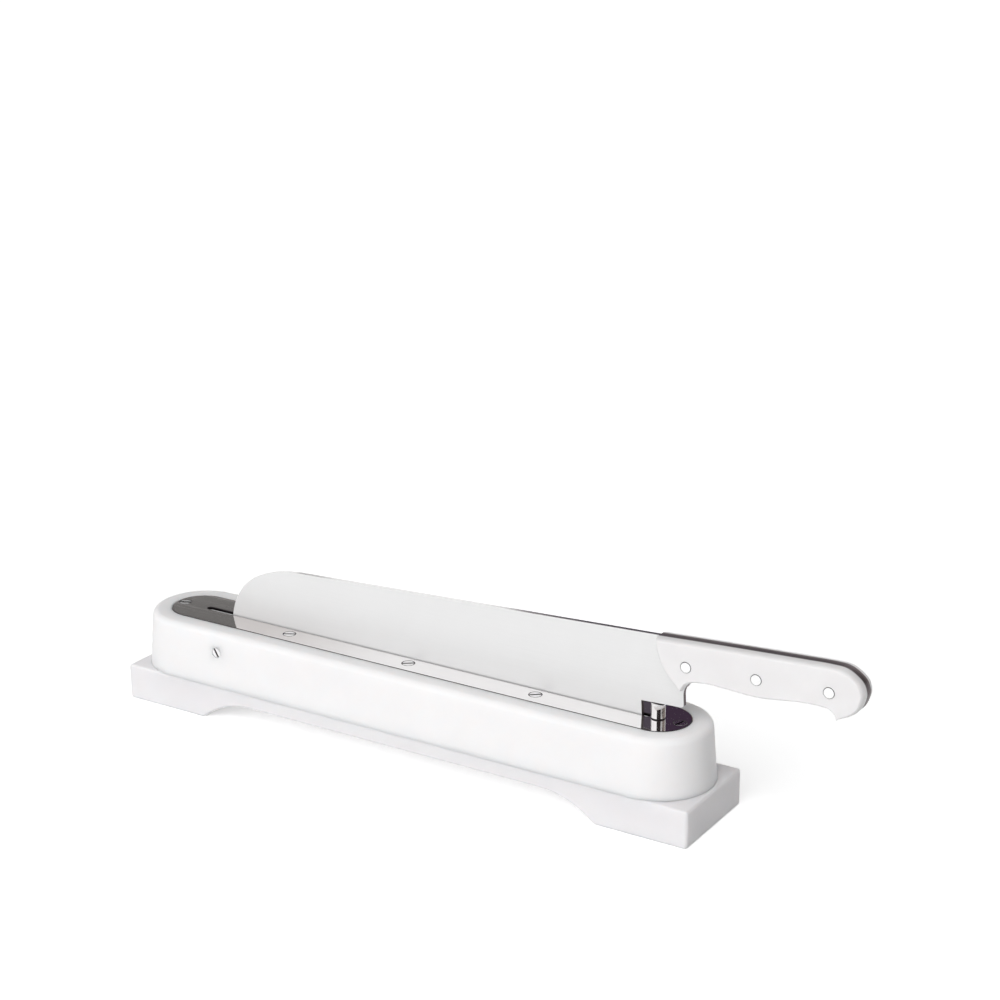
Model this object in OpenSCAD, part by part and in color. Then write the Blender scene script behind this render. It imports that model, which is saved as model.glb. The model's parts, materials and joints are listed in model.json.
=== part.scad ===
// Bench cutter for dried salt cod: a long knife hinged in the slot of a steel plate,
// on a tapered white block that is screwed to a board with an arch under it.
// Millimetres. X runs from the pivot towards the handle, Y away from the front side, Z up.
// The origin lies under the middle of the whole object, on the surface that it stands on.

/* [Board] */
// Thickness of the bottom board
board_t = 24; // [20:0.5:32]
// Ledge of board left beside the block at the pivot end
ledge_pivot = 1; // [0:0.5:20]
// Ledge of board left beside the block at the handle end
ledge_handle = 2.5; // [0:0.5:20]
// Length of each foot on the ground
foot_l = 62.5; // [48:0.5:100]
// Height of the arch under the board
arch_rise = 14.3; // [6:0.1:16]
// Radius of the hollow curve at each end of the arch
arch_end_r = 60; // [20:1:90]

/* [Block] */
// Height of the tapered block
block_h = 37.5; // [36:0.5:60]
// Rim of white plastic round the steel plate
rim_w = 12.5; // [11:0.5:24]
// How far the block's sides lean out from top to bottom
draft_w = 3; // [1:0.5:8]
// Radius of the block's rounded top edge
block_edge_r = 4.5; // [1:0.5:8]

/* [Steel plate] */
// Width of the plate
plate_w = 39; // [36:0.5:60]
// Thickness of the plate
plate_t = 2; // [1.9:0.1:4]
// Gap all round between the plate and its recess
plate_gap = 0.3; // [0.1:0.05:0.6]
// Plate between its end and the pivot
plate_behind_pivot = 57.8; // [52:0.1:90]
// Plate between the stop post and the plate's other end
plate_past_post = 20.5; // [18:0.5:40]
// Width of the slot that the blade drops into
slot_w = 4; // [3.8:0.1:6]
// Length of slot behind the pivot, which the nose of the blade swings into
slot_behind_pivot = 32.6; // [32:0.1:44]
// Steel left between the slot and the stop post
slot_to_post = 1; // [0.5:0.1:2]
// Extra width of the pocket in the block under the slot
pocket_extra_w = 0.4; // [0:0.1:2]
// Space under the blade in the pocket
pocket_gap = 3; // [1.5:0.5:6]

/* [Plate screws] */
// Head diameter of a plate screw
plate_screw_head_d = 7.6; // [6:0.1:7.8]
// Shank diameter of a plate screw
plate_screw_d = 3.8; // [3.8:0.1:4.6]
// Length of a plate screw
plate_screw_l = 14; // [8:0.5:20]
// Distance between the screws of one side row
plate_screw_pitch = 93; // [40:1:110]
// Distance of each side row from the middle line
plate_screw_row = 9.1; // [8:0.1:13]
// Distance of the end screws from the plate's ends
plate_screw_inset = 5.8; // [5:0.1:9]

/* [Board screws] */
// Head diameter of a board screw
board_screw_head_d = 8.4; // [7:0.1:11]
// Head height of a board screw
board_screw_head_h = 3; // [2:0.1:4]
// Shank diameter of a board screw
board_screw_d = 4.4; // [3:0.1:6]
// Length of a board screw under its head
board_screw_l = 30; // [26:1:34]
// Depth of the recess that hides a board screw's head
board_screw_recess = 5; // [4:0.5:8]
// Distance of the outer board screws from the board's ends
board_screw_inset = 32; // [16:1:50]
// Distance of the board screws from the middle line
board_screw_row = 18; // [14:0.5:24]

/* [Stop post] */
// Diameter of the post that the heel of the knife lands on
post_d = 8.6; // [7:0.1:14]
// Height of the post above the plate
post_h = 9.4; // [8:0.1:14]
// Chamfer round the top of the post
post_chamfer = 0.5; // [0.2:0.1:1.5]
// Distance of the post behind the step of the heel
post_from_step = 9.8; // [7:0.1:14]
// Diameter of the stud that holds the post
post_stud_d = 5; // [3:0.5:8]
// Length of the stud, from the top of the plate down
post_stud_l = 22; // [10:1:30]

/* [Pivot] */
// Depth of the pivot's centre under the top of the plate
pivot_depth = 14; // [12:0.5:18]
// Diameter of the barrel that the blade turns on
barrel_d = 8; // [7:0.5:12]
// Length of the barrel under its head
barrel_l = 48.5; // [42:0.5:52]
// Depth of the threaded hole in the barrel
barrel_hole_depth = 22; // [14:1:30]
// Diameter of the screw that goes into the barrel
pivot_screw_d = 5; // [3:0.5:6]
// Length of the pivot screw under its head
pivot_screw_l = 28; // [20:0.5:32]
// Diameter of the barrel's head
pivot_head_d = 9; // [8.5:0.5:16]
// Diameter of the pivot screw's head
pivot_screw_head_d = 6.4; // [6.2:0.1:12]
// Thickness of both pivot heads
pivot_head_t = 2.2; // [1.5:0.1:4]
// How deep both pivot heads lie under the side of the block
pivot_head_sunk = 0.4; // [0:0.1:1]
// Width of a screwdriver slot
driver_slot_w = 1.4; // [0.6:0.1:1.6]
// Depth of a screwdriver slot
driver_slot_depth = 0.9; // [0.5:0.1:1.2]

/* [Blade] */
// Thickness of the blade and tang
blade_t = 3; // [2:0.1:3.4]
// Radius of the blade's corner round the pivot
tip_r = 11; // [10:0.5:12.5]
// Height of the spine above the pivot
spine_h = 51.5; // [46:0.1:70]
// Length of the curved nose, from the front of the blade to the straight spine
nose_l = 60; // [50:1:90]
// Fullness of the nose curve at the front of the blade
nose_front = 32.7; // [20:0.1:44]
// Fullness of the nose curve at the spine
nose_top = 41.4; // [20:0.1:48]
// Distance from the pivot to the step in front of the heel
edge_l = 297.4; // [270:0.1:320]
// How far the cutting edge lies below the pivot at the step
edge_drop = 6.7; // [4:0.1:9]
// Height of the ground bevel above the cutting edge
bevel_h = 6; // [3:0.5:10]
// Thickness left at the cutting edge
edge_t = 0.3; // [0.1:0.1:0.8]
// Length of the heel that lands on the post
heel_l = 28.3; // [24:0.1:36]
// Height of the heel's underside above the pivot, at the step
heel_h = 8.25; // [7:0.05:10]
// Radius of the heel's lower corner
heel_corner_r = 2; // [0.5:0.5:3]
// Radius of the hollow between the heel and the grip
finger_r = 11.5; // [8:0.5:14]
// Depth of that hollow below the spine line
hollow_drop = 24.2; // [22:0.1:28]

/* [Handle] */
// Length of the handle behind the heel
grip_l = 115.3; // [110:0.1:140]
// Thickness of one handle scale
scale_t = 6.5; // [5:0.5:10]
// Width of the rounding along a scale's outer edge, seen from the side
scale_edge_w = 2; // [1:0.5:3]
// Depth of that rounding into the thickness of the scale
scale_edge_t = 4.5; // [2:0.5:4.5]
// Width of that rounding at the sharp corners of a scale
scale_corner_w = 0.7; // [0.3:0.1:1]
// Radius of the curved front edge of a scale
scale_front_r = 37; // [34:1:60]
// Distance from the step to the front of a scale
scale_from_step = 13.2; // [10:0.1:14]
// Depth of the grip below the spine line at its front and rear
grip_drop = 23.7; // [20:0.1:26]
// Depth of the grip below the spine line at its middle
belly_drop = 26.4; // [20:0.1:28]
// Depth of the beak at the rear below the spine line
beak_drop = 31; // [28:0.1:34]
// Distance of the beak from the butt
beak_back = 16.4; // [12:0.1:20]
// Rise of the handle's top above the spine line near the butt
butt_rise = 0.6; // [0:0.1:4]
// Head diameter of a handle rivet
rivet_head_d = 6.8; // [6:0.1:9]
// Head thickness of a handle rivet
rivet_head_t = 2.5; // [1:0.1:4]
// Outside diameter of a rivet's hollow half
rivet_tube_d = 5; // [4:0.1:6]
// Diameter of a rivet's pin half
rivet_pin_d = 3.2; // [2:0.1:3.4]
// Depth of the rivets below the spine line
rivet_drop = 14.7; // [11:0.1:16]
// Distance of the front rivet from the front of the scales
rivet_from_front = 20.3; // [16:0.1:26]
// Distance of the rear rivet from the butt
rivet_from_butt = 20.4; // [18:0.1:24]

/* [Fits] */
// Gap between the heel and the post when the knife is shut
seat_gap = 0.2; // [0.1:0.05:0.5]
// Radial gap between the blade and the barrel
running_gap = 0.05; // [0.02:0.01:0.09]
// Radial gap round screws, studs and rivets in their holes
hole_gap = 0.1; // [0.05:0.05:0.2]
// Radial gap round the sunk heads of the pivot and of the board screws
head_gap = 0.2; // [0.1:0.05:0.5]

/* [Hidden] */
plate_screw_names = [
    "plate_screw_pivot_end", "plate_screw_handle_end",
    "plate_screw_near_left", "plate_screw_near_middle", "plate_screw_near_right",
    "plate_screw_far_left", "plate_screw_far_middle", "plate_screw_far_right"];
board_screw_names = [
    "board_screw_near_left", "board_screw_near_middle", "board_screw_near_right",
    "board_screw_far_left", "board_screw_far_middle", "board_screw_far_right"];
rivet_pin_names = ["rivet_pin_front", "rivet_pin_middle", "rivet_pin_rear"];
rivet_tube_names = ["rivet_tube_front", "rivet_tube_middle", "rivet_tube_rear"];

// Facets of every round form
round_fn = 64;
// Degrees between the points of an arc in an outline
arc_step = 7.5;
// Points along the curve of the blade's nose
nose_steps = 28;
// Points between two neighbours of the handle's outline
grip_steps = 4;
// Steps in the rounding of a scale's outer edge
rounding_steps = 6;
// How fast a scale's rounding widens away from a sharp corner
rounding_growth = 0.25;
// Extra length of a cutting tool past the face that it opens
past = 1;
// Depth of a hole beyond the end of the screw or stud in it
hole_extra = 1;
// Angle of each plate screw's driver slot, and of the two pivot heads' slots
plate_screw_turn = [20, 75, 28, 35, 40, 62, 15, 80];
barrel_turn = 10;
pivot_screw_turn = 60;

// Heights
top_z = board_t + block_h;
pivot_z = top_z - pivot_depth;
pocket_z = pivot_z - tip_r - pocket_gap;

// Places along the cutter, measured from the pivot
post_x = edge_l + post_from_step;
plate_x0 = -plate_behind_pivot;
plate_x1 = post_x + plate_past_post;
plate_mid = (plate_x0 + plate_x1) / 2;
cap_x0 = plate_x0 + plate_w / 2;
cap_x1 = plate_x1 - plate_w / 2;
slot_x0 = -slot_behind_pivot;
slot_x1 = post_x - post_d / 2 - slot_to_post;

// Block and board
block_top_r = plate_w / 2 + rim_w;
block_foot_r = block_top_r + draft_w;
board_w = 2 * block_foot_r;
board_x0 = cap_x0 - block_foot_r - ledge_pivot;
board_x1 = cap_x1 + block_foot_r + ledge_handle;
board_mid = (board_x0 + board_x1) / 2;
arch_half = (board_x1 - board_x0) / 2 - foot_l;
arch_end_l = sqrt(arch_end_r * arch_end_r - pow(arch_end_r - arch_rise, 2));
draft_angle = atan(draft_w / block_h);

// The knife is drawn with its pivot at zero and its spine level, then tipped until
// the underside of its heel lies on the near edge of the post
contact_x = post_x - post_d / 2 + post_chamfer;
contact_z = pivot_depth + post_h + seat_gap;
closed_angle = acos(heel_h / norm([contact_x, contact_z])) - atan2(contact_x, contact_z);

// Knife, in its own frame
heel_u = edge_l + heel_l;
butt_u = heel_u + grip_l;
edge_angle = asin((tip_r - edge_drop) / norm([edge_l, edge_drop]));
scale_u = edge_l + scale_from_step;
hollow_middle = [heel_u + finger_r, spine_h - hollow_drop - finger_r];
rivet_v = spine_h - rivet_drop;
rivet_u0 = scale_u + rivet_from_front;
rivet_u2 = butt_u - rivet_from_butt;
rivet_places = [rivet_u0, (rivet_u0 + rivet_u2) / 2, rivet_u2];
side_y = blade_t / 2 + scale_t;
// How far a rivet's pin half reaches past the middle of the handle
rivet_pin_end = scale_t / 2;

// Pivot heads lie in round recesses in the leaning sides of the block
pivot_side_y = block_foot_r - (pivot_z - board_t) * tan(draft_angle);
pivot_face_y = pivot_side_y - pivot_head_sunk;
pivot_seat_y = pivot_face_y - pivot_head_t;

function arc(middle, r, from, to) =
    let (steps = ceil(abs(to - from) / arc_step))
    [for (i = [0 : steps]) let (a = from + (to - from) * i / steps)
        [middle[0] + r * cos(a), middle[1] + r * sin(a)]];

function bezier(a, b, c, d, steps) =
    [for (i = [1 : steps - 1]) let (t = i / steps, s = 1 - t)
        s * s * s * a + 3 * s * s * t * b + 3 * s * t * t * c + t * t * t * d];

// A smooth curve through every point but the first and the last, which only guide it
function spline(p, steps) =
    [for (i = [1 : len(p) - 3], j = [0 : steps - 1]) let (t = j / steps)
        0.5 * (2 * p[i] + (p[i + 1] - p[i - 1]) * t
        + (2 * p[i - 1] - 5 * p[i] + 4 * p[i + 1] - p[i + 2]) * t * t
        + (3 * p[i] - p[i - 1] - 3 * p[i + 1] + p[i + 2]) * t * t * t)];

// The grip runs from the hollow behind the heel to the tip of the beak. Its points are
// distances from the butt and from the spine line, and the first and last only guide it.
hollow_end_angle = 5;
hollow_back = butt_u - heel_u - finger_r;
grip_points = [
    [-hollow_back - 10, -hollow_drop - 0.6],
    [-hollow_back, -hollow_drop],
    [-97, -grip_drop],
    [-85, -grip_drop - 1],
    [-64, -belly_drop],
    [-39, -grip_drop - 0.9],
    [-beak_back - 7.5, 5.9 - beak_drop],
    [-beak_back - 2.5, 3.6 - beak_drop],
    [-beak_back, -beak_drop],
    [-beak_back + 2.5, -beak_drop - 5]];

// The butt, from the tip of the beak round to the spine, in the same way
butt_points = [
    [-beak_back - 4, -beak_drop - 3],
    [-beak_back, -beak_drop],
    [-9, 3 - beak_drop],
    [-3.4, 7.5 - beak_drop],
    [-0.3, 14.5 - beak_drop],
    [-0.3, -11.6],
    [-2.9, -6.4],
    [-10.6, -0.9],
    [-20, butt_rise - 0.1],
    [-40, butt_rise],
    [-90, butt_rise - 0.2],
    [scale_u - butt_u, 0],
    [scale_u - butt_u - 30, 0]];

function from_butt(points) = [for (p = points) [butt_u + p[0], spine_h + p[1]]];

function knife_outline() = concat(
    arc([0, 0], tip_r, 180, 270 + edge_angle),
    [[edge_l, -edge_drop], [edge_l, heel_h]],
    arc([heel_u - heel_corner_r, heel_h + heel_corner_r], heel_corner_r, -90, 0),
    arc(hollow_middle, finger_r, 180, 90 + hollow_end_angle),
    spline(from_butt(grip_points), grip_steps),
    spline(from_butt(butt_points), grip_steps),
    [[scale_u, spine_h], [nose_l - tip_r, spine_h]],
    bezier([nose_l - tip_r, spine_h], [nose_l - tip_r - nose_top, spine_h],
        [-tip_r, nose_front], [-tip_r, 0], nose_steps));

knife_points = knife_outline();

// Where two circles meet, on the left of the line from the first to the second
function meeting(c1, r1, c2, r2) =
    let (line = c2 - c1, d = norm(line), along = (d * d + r1 * r1 - r2 * r2) / (2 * d))
    c1 + along * line / d + sqrt(r1 * r1 - along * along) * [-line[1], line[0]] / d;

// Outline of a scale: its curved front edge down to the hollow behind the heel,
// then the same grip, butt and top as the tang
scale_middle = [scale_u + scale_front_r, spine_h];
scale_tip = meeting(hollow_middle, finger_r, scale_middle, scale_front_r);
beak_tip = from_butt(butt_points)[1];
function turn_of(middle, p) = atan2(p[1] - middle[1], p[0] - middle[0]);
scale_outline = concat(
    arc(scale_middle, scale_front_r, 180, 360 + turn_of(scale_middle, scale_tip)),
    arc(hollow_middle, finger_r, turn_of(hollow_middle, scale_tip) - arc_step, 90 + hollow_end_angle),
    spline(from_butt(grip_points), grip_steps),
    spline(from_butt(butt_points), grip_steps));

// Furthest point of the knife from the pivot, which the origin's place depends on
butt_x = max([for (p = knife_points) p[0] * cos(closed_angle) - p[1] * sin(closed_angle)]);
origin_x = (board_x0 + butt_x) / 2;

// Moves a piece from the pivot's place to the object's own origin
module on_cutter() {
    translate([-origin_x, 0, 0]) children();
}

// Moves a piece of the knife to the shut pose
module on_knife() {
    on_cutter() translate([0, 0, pivot_z]) rotate([0, -closed_angle, 0]) children();
}

// A flat form drawn in the side view, as a slab from y0 back to y1
module side_slab(y0, y1) {
    translate([0, y1, 0]) rotate([90, 0, 0]) linear_extrude(y1 - y0) children();
}

// A round bar along Y from y0 to y1
module cross_bar(d, y0, y1) {
    translate([0, y1, 0]) rotate([90, 0, 0]) cylinder(d = d, h = y1 - y0, $fn = round_fn);
}

// A flat form with two round ends between x0 and x1
module stadium(x0, x1, w) {
    translate([x0 + w / 2, -w / 2]) square([x1 - x0 - w, w]);
    translate([x0 + w / 2, 0]) circle(d = w, $fn = round_fn);
    translate([x1 - w / 2, 0]) circle(d = w, $fn = round_fn);
}

// The hollow under the board, seen from the side
module arch_outline() {
    flat_half = arch_half - arch_end_l;
    intersection() {
        union() {
            translate([-flat_half, -past]) square([2 * flat_half, arch_rise + past]);
            for (side = [-1, 1])
                translate([side * flat_half, arch_rise - arch_end_r]) circle(r = arch_end_r, $fn = round_fn);
        }
        translate([-arch_half - past, -past])
            square([2 * (arch_half + past), arch_rise + past]);
    }
}

// Half of the block's cross-section: radius against height above the board
function block_section() =
    let (
        round_z = block_h - block_edge_r,
        round_r = block_foot_r - round_z * tan(draft_angle) - block_edge_r / cos(draft_angle))
    concat([[0, 0], [block_foot_r, 0]],
        arc([round_r, round_z], block_edge_r, draft_angle, 90), [[0, block_h]]);

module block_form() {
    section = block_section();
    for (cap = [[cap_x0, 90], [cap_x1, -90]])
        translate([cap[0], 0, board_t]) rotate(cap[1])
            rotate_extrude(angle = 180, $fn = 2 * round_fn) polygon(section);
    translate([cap_x0, 0, board_t]) rotate([90, 0, 90]) linear_extrude(cap_x1 - cap_x0)
        union() {
            polygon(section);
            mirror([1, 0]) polygon(section);
        }
}

// Where the six board screws go up, with the height at which each head is seated
function board_screw_place(i) =
    let (column = i % 3, far = i > 2 ? 1 : -1)
    [[board_x0 + board_screw_inset, board_mid, board_x1 - board_screw_inset][column],
        far * board_screw_row, (column == 1 ? arch_rise : 0) + board_screw_recess];

// Where the eight plate screws go down: the two ends first, then the side rows
function plate_screw_place(i) =
    i == 0 ? [plate_x0 + plate_screw_inset, 0] :
    i == 1 ? [plate_x1 - plate_screw_inset, 0] :
    [plate_mid + ((i - 2) % 3 - 1) * plate_screw_pitch, (i > 4 ? 1 : -1) * plate_screw_row];

module board_screw_hole(i) {
    place = board_screw_place(i);
    translate([place[0], place[1], -past])
        cylinder(d = board_screw_head_d + 2 * head_gap, h = place[2] + past, $fn = round_fn);
    translate([place[0], place[1], 0])
        cylinder(d = board_screw_d + 2 * hole_gap, h = place[2] + board_screw_l + hole_extra,
            $fn = round_fn);
}

// A hole down from the top of the plate for a shank of that diameter and length
module hole_down(d, l) {
    translate([0, 0, top_z - l - hole_extra])
        cylinder(d = d + 2 * hole_gap, h = l + hole_extra + past, $fn = round_fn);
}

// The board's side view with the arch, crossed by the six screw holes
module base_board() {
    color("white") on_cutter() difference() {
        side_slab(-board_w / 2, board_w / 2) difference() {
            translate([board_x0, 0]) square([board_x1 - board_x0, board_t]);
            translate([board_mid, 0]) arch_outline();
        }
        for (i = [0 : 5]) board_screw_hole(i);
    }
}

// A recess for the plate, a pocket for the blade, and the holes for what is screwed in
module block() {
    pocket_w = slot_w + pocket_extra_w;
    color("whitesmoke") on_cutter() difference() {
        block_form();
        translate([0, 0, top_z - plate_t]) linear_extrude(plate_t + past)
            stadium(plate_x0 - plate_gap, plate_x1 + plate_gap, plate_w + 2 * plate_gap);
        translate([slot_x0 - pocket_extra_w / 2, -pocket_w / 2, pocket_z])
            cube([slot_x1 - slot_x0 + pocket_extra_w, pocket_w, top_z - pocket_z]);
        translate([0, 0, pivot_z]) {
            cross_bar(barrel_d + 2 * hole_gap, pivot_seat_y - barrel_l - hole_gap, pivot_seat_y + past);
            cross_bar(pivot_screw_d + 2 * hole_gap, -pivot_seat_y - past, pivot_seat_y - barrel_l);
            cross_bar(pivot_head_d + 2 * head_gap, pivot_seat_y, block_foot_r + past);
            mirror([0, 1, 0])
                cross_bar(pivot_screw_head_d + 2 * head_gap, pivot_seat_y, block_foot_r + past);
        }
        translate([post_x, 0, 0]) hole_down(post_stud_d, post_stud_l);
        for (i = [0 : 7]) translate(plate_screw_place(i)) hole_down(plate_screw_d, plate_screw_l);
        for (i = [0 : 5]) board_screw_hole(i);
    }
}

// The countersink that a plate screw's head lies in, widened by the hole gap
module countersink(gap) {
    head_h = (plate_screw_head_d - plate_screw_d) / 2;
    translate([0, 0, top_z - head_h]) cylinder(d1 = plate_screw_d + 2 * gap,
        d2 = plate_screw_head_d + 2 * gap, h = head_h, $fn = round_fn);
}

module top_plate() {
    color("silver") on_cutter() difference() {
        translate([0, 0, top_z - plate_t]) linear_extrude(plate_t) difference() {
            stadium(plate_x0, plate_x1, plate_w);
            stadium(slot_x0, slot_x1, slot_w);
            translate([post_x, 0]) circle(d = post_stud_d + 2 * hole_gap, $fn = round_fn);
            for (i = [0 : 7]) translate(plate_screw_place(i))
                circle(d = plate_screw_d + 2 * hole_gap, $fn = round_fn);
        }
        for (i = [0 : 7]) translate(plate_screw_place(i)) countersink(hole_gap);
    }
}

module plate_screw(i) {
    color("gainsboro") on_cutter() translate(plate_screw_place(i)) difference() {
        union() {
            countersink(0);
            translate([0, 0, top_z - plate_screw_l])
                cylinder(d = plate_screw_d, h = plate_screw_l - past, $fn = round_fn);
        }
        translate([0, 0, top_z]) rotate(plate_screw_turn[i])
            cube([plate_screw_head_d + past, driver_slot_w, 2 * driver_slot_depth], center = true);
    }
}

module board_screw(i) {
    place = board_screw_place(i);
    color("darkgray") on_cutter() translate(place) difference() {
        union() {
            translate([0, 0, -board_screw_head_h])
                cylinder(d = board_screw_head_d, h = board_screw_head_h, $fn = round_fn);
            cylinder(d = board_screw_d, h = board_screw_l, $fn = round_fn);
        }
        translate([0, 0, -board_screw_head_h])
            cube([board_screw_head_d + past, driver_slot_w, 2 * driver_slot_depth], center = true);
    }
}

module stop_post() {
    color("silver") on_cutter() translate([post_x, 0, top_z]) {
        cylinder(d = post_d, h = post_h - post_chamfer, $fn = round_fn);
        translate([0, 0, post_h - post_chamfer])
            cylinder(d1 = post_d, d2 = post_d - 2 * post_chamfer, h = post_chamfer, $fn = round_fn);
        translate([0, 0, -post_stud_l]) cylinder(d = post_stud_d, h = post_stud_l, $fn = round_fn);
    }
}

// The round head of either half of the pivot, with its screwdriver slot
module pivot_head(head_d, turn) {
    difference() {
        cross_bar(head_d, pivot_seat_y, pivot_face_y);
        translate([0, pivot_face_y, 0]) rotate([0, turn, 0])
            cube([head_d + past, 2 * driver_slot_depth, driver_slot_w], center = true);
    }
}

module pivot_barrel() {
    color("gainsboro") on_cutter() translate([0, 0, pivot_z]) {
        pivot_head(pivot_head_d, barrel_turn);
        difference() {
            cross_bar(barrel_d, pivot_seat_y - barrel_l, pivot_seat_y);
            cross_bar(pivot_screw_d + 2 * hole_gap, pivot_seat_y - barrel_l - past,
                pivot_seat_y - barrel_l + barrel_hole_depth);
        }
    }
}

module pivot_screw() {
    color("gainsboro") on_cutter() translate([0, 0, pivot_z]) mirror([0, 1, 0]) {
        pivot_head(pivot_screw_head_d, pivot_screw_turn);
        cross_bar(pivot_screw_d, pivot_seat_y - pivot_screw_l, pivot_seat_y);
    }
}

// A wedge that grinds one side of the blade down to the cutting edge
module bevel_cut() {
    rotate([0, edge_angle, 0]) translate([0, 0, -tip_r]) rotate([90, 0, 90])
        translate([0, 0, -tip_r - past]) linear_extrude(edge_l + tip_r + 2 * past)
            polygon([[edge_t / 2, -past], [edge_t / 2, 0], [blade_t / 2, bevel_h],
                [blade_t, bevel_h], [blade_t, -past]]);
}

module blade() {
    color("lightgray") on_knife() difference() {
        side_slab(-blade_t / 2, blade_t / 2) polygon(knife_points);
        bevel_cut();
        mirror([0, 1, 0]) bevel_cut();
        cross_bar(barrel_d + 2 * running_gap, -blade_t, blade_t);
        for (u = rivet_places) translate([u, 0, rivet_v])
            cross_bar(rivet_tube_d + 2 * hole_gap, -blade_t, blade_t);
    }
}

// The rounding of a scale narrows towards the two sharp corners of its outline
function edge_width(p) = min(scale_edge_w, scale_corner_w + rounding_growth
    * min(norm(p - scale_tip), norm(p - beak_tip)));

// The scale's outline moved inwards by a share of that rounding
function inset_ring(share) = [
    for (i = [0 : len(scale_outline) - 1]) let (
        count = len(scale_outline),
        p = scale_outline[i],
        before = p - scale_outline[(i + count - 1) % count],
        after = scale_outline[(i + 1) % count] - p,
        n1 = [-before[1], before[0]] / norm(before),
        n2 = [-after[1], after[0]] / norm(after))
    p + share * edge_width(p) * (n1 + n2) / (1 + n1 * n2)];

// Section of the rounding, as shares of its width and of its depth below the scale's face.
// Its last flat runs on past the face, which then cuts it off.
function rounding_section() = let (
    quarter = [for (k = [0 : rounding_steps]) let (turn = 90 * k / rounding_steps)
        [1 - cos(turn), sin(turn) - 1]],
    end = quarter[rounding_steps],
    before = quarter[rounding_steps - 1])
    concat([for (k = [0 : rounding_steps - 1]) quarter[k]], [2 * end - before]);

// The outline as a body that narrows at the rounding, from the middle of the handle outwards
module rounded_outline() {
    section = rounding_section();
    rings = concat(
        [[for (p = scale_outline) [p[0], 0, p[1]]]],
        [for (step = section) [for (p = inset_ring(step[0]))
            [p[0], side_y + scale_edge_t * step[1], p[1]]]]);
    count = len(scale_outline);
    last = len(rings) - 1;
    faces = concat(
        [[for (i = [count - 1 : -1 : 0]) i]],
        [[for (i = [0 : count - 1]) last * count + i]],
        [for (k = [0 : last - 1], i = [0 : count - 1])
            [k * count + i, k * count + (i + 1) % count,
            (k + 1) * count + (i + 1) % count, (k + 1) * count + i]]);
    polyhedron([for (ring = rings) each ring], faces);
}

// A scale on the far side of the tang, with its flat faces and its rivet holes
module scale_form() {
    intersection() {
        rounded_outline();
        difference() {
            translate([edge_l, blade_t / 2, 0])
                cube([butt_u - edge_l + past, scale_t, spine_h + butt_rise + past]);
            for (u = rivet_places) translate([u, 0, rivet_v]) {
                cross_bar(rivet_tube_d + 2 * hole_gap, 0, side_y);
                cross_bar(rivet_head_d + 2 * hole_gap, side_y - rivet_head_t, side_y + past);
            }
        }
    }
}

module far_scale() {
    color("snow") on_knife() scale_form();
}

module near_scale() {
    color("snow") on_knife() mirror([0, 1, 0]) scale_form();
}

// The solid half of a handle rivet, with its head on the near side
module rivet_pin(i) {
    color("lightsteelblue") on_knife() translate([rivet_places[i], 0, rivet_v]) {
        cross_bar(rivet_head_d, -side_y, rivet_head_t - side_y);
        cross_bar(rivet_pin_d, rivet_head_t - side_y, rivet_pin_end);
    }
}

// The hollow half of a handle rivet, with its head on the far side
module rivet_tube(i) {
    color("lightsteelblue") on_knife() translate([rivet_places[i], 0, rivet_v]) difference() {
        union() {
            cross_bar(rivet_head_d, side_y - rivet_head_t, side_y);
            cross_bar(rivet_tube_d, rivet_head_t + past - side_y, side_y - rivet_head_t);
        }
        cross_bar(rivet_pin_d + 2 * hole_gap, -side_y, rivet_pin_end + hole_extra);
    }
}

base_board();
block();
top_plate();
stop_post();
pivot_barrel();
pivot_screw();
for (i = [0 : 7]) plate_screw(i);
for (i = [0 : 5]) board_screw(i);
blade();
near_scale();
far_scale();
for (i = [0 : 2]) rivet_pin(i);
for (i = [0 : 2]) rivet_tube(i);
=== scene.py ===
"""Looks of a bench cutter for dried salt cod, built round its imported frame.

Metres. X runs from the pivot towards the handle, Y away from the front side, Z up.
"""

import json
import logging
import math
from contextlib import contextmanager
from dataclasses import dataclass, field
from enum import Enum
from typing import Callable, Iterable, Iterator, Sequence

import bmesh
import bpy
from mathutils import Matrix, Vector


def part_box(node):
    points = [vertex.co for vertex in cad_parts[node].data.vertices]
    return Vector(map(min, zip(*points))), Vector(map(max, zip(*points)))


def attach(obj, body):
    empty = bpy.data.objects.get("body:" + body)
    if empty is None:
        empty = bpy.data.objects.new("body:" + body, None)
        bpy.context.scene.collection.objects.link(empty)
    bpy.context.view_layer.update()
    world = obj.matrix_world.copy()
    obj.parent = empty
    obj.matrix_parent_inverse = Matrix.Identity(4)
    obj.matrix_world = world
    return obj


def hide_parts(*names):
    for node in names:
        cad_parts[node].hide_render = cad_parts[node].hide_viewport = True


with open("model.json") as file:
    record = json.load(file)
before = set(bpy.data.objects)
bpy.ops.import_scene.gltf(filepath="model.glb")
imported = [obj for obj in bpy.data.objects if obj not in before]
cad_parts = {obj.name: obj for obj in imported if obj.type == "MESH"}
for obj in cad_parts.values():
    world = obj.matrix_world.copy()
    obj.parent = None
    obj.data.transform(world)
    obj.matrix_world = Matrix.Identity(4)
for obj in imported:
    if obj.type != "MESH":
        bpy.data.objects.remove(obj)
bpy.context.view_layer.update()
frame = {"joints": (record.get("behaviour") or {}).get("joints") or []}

log = logging.getLogger("cutter")

MM = 0.001
# Points closer than this are one point
SAME_POINT = 0.0005 * MM
# Degrees between the points of an arc, and of a long one
ARC_STEP = 3.0
FINE_STEP = 1.5
# Sides of a turned form, and of a plain hole
ROUND_SIDES = 96
HOLE_SIDES = 48
# Edges sharper than this, in degrees, are rounded, and past the second angle a face stays flat
ROUNDED_ANGLE = 28.0
SMOOTH_ANGLE = 32.0
# The Weighted Normal modifier's highest weight, by which a large face stays flat up to its rounding
FLAT_WEIGHT = 100
# How far a cutting tool runs past the face that it opens
PAST = 1 * MM

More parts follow.
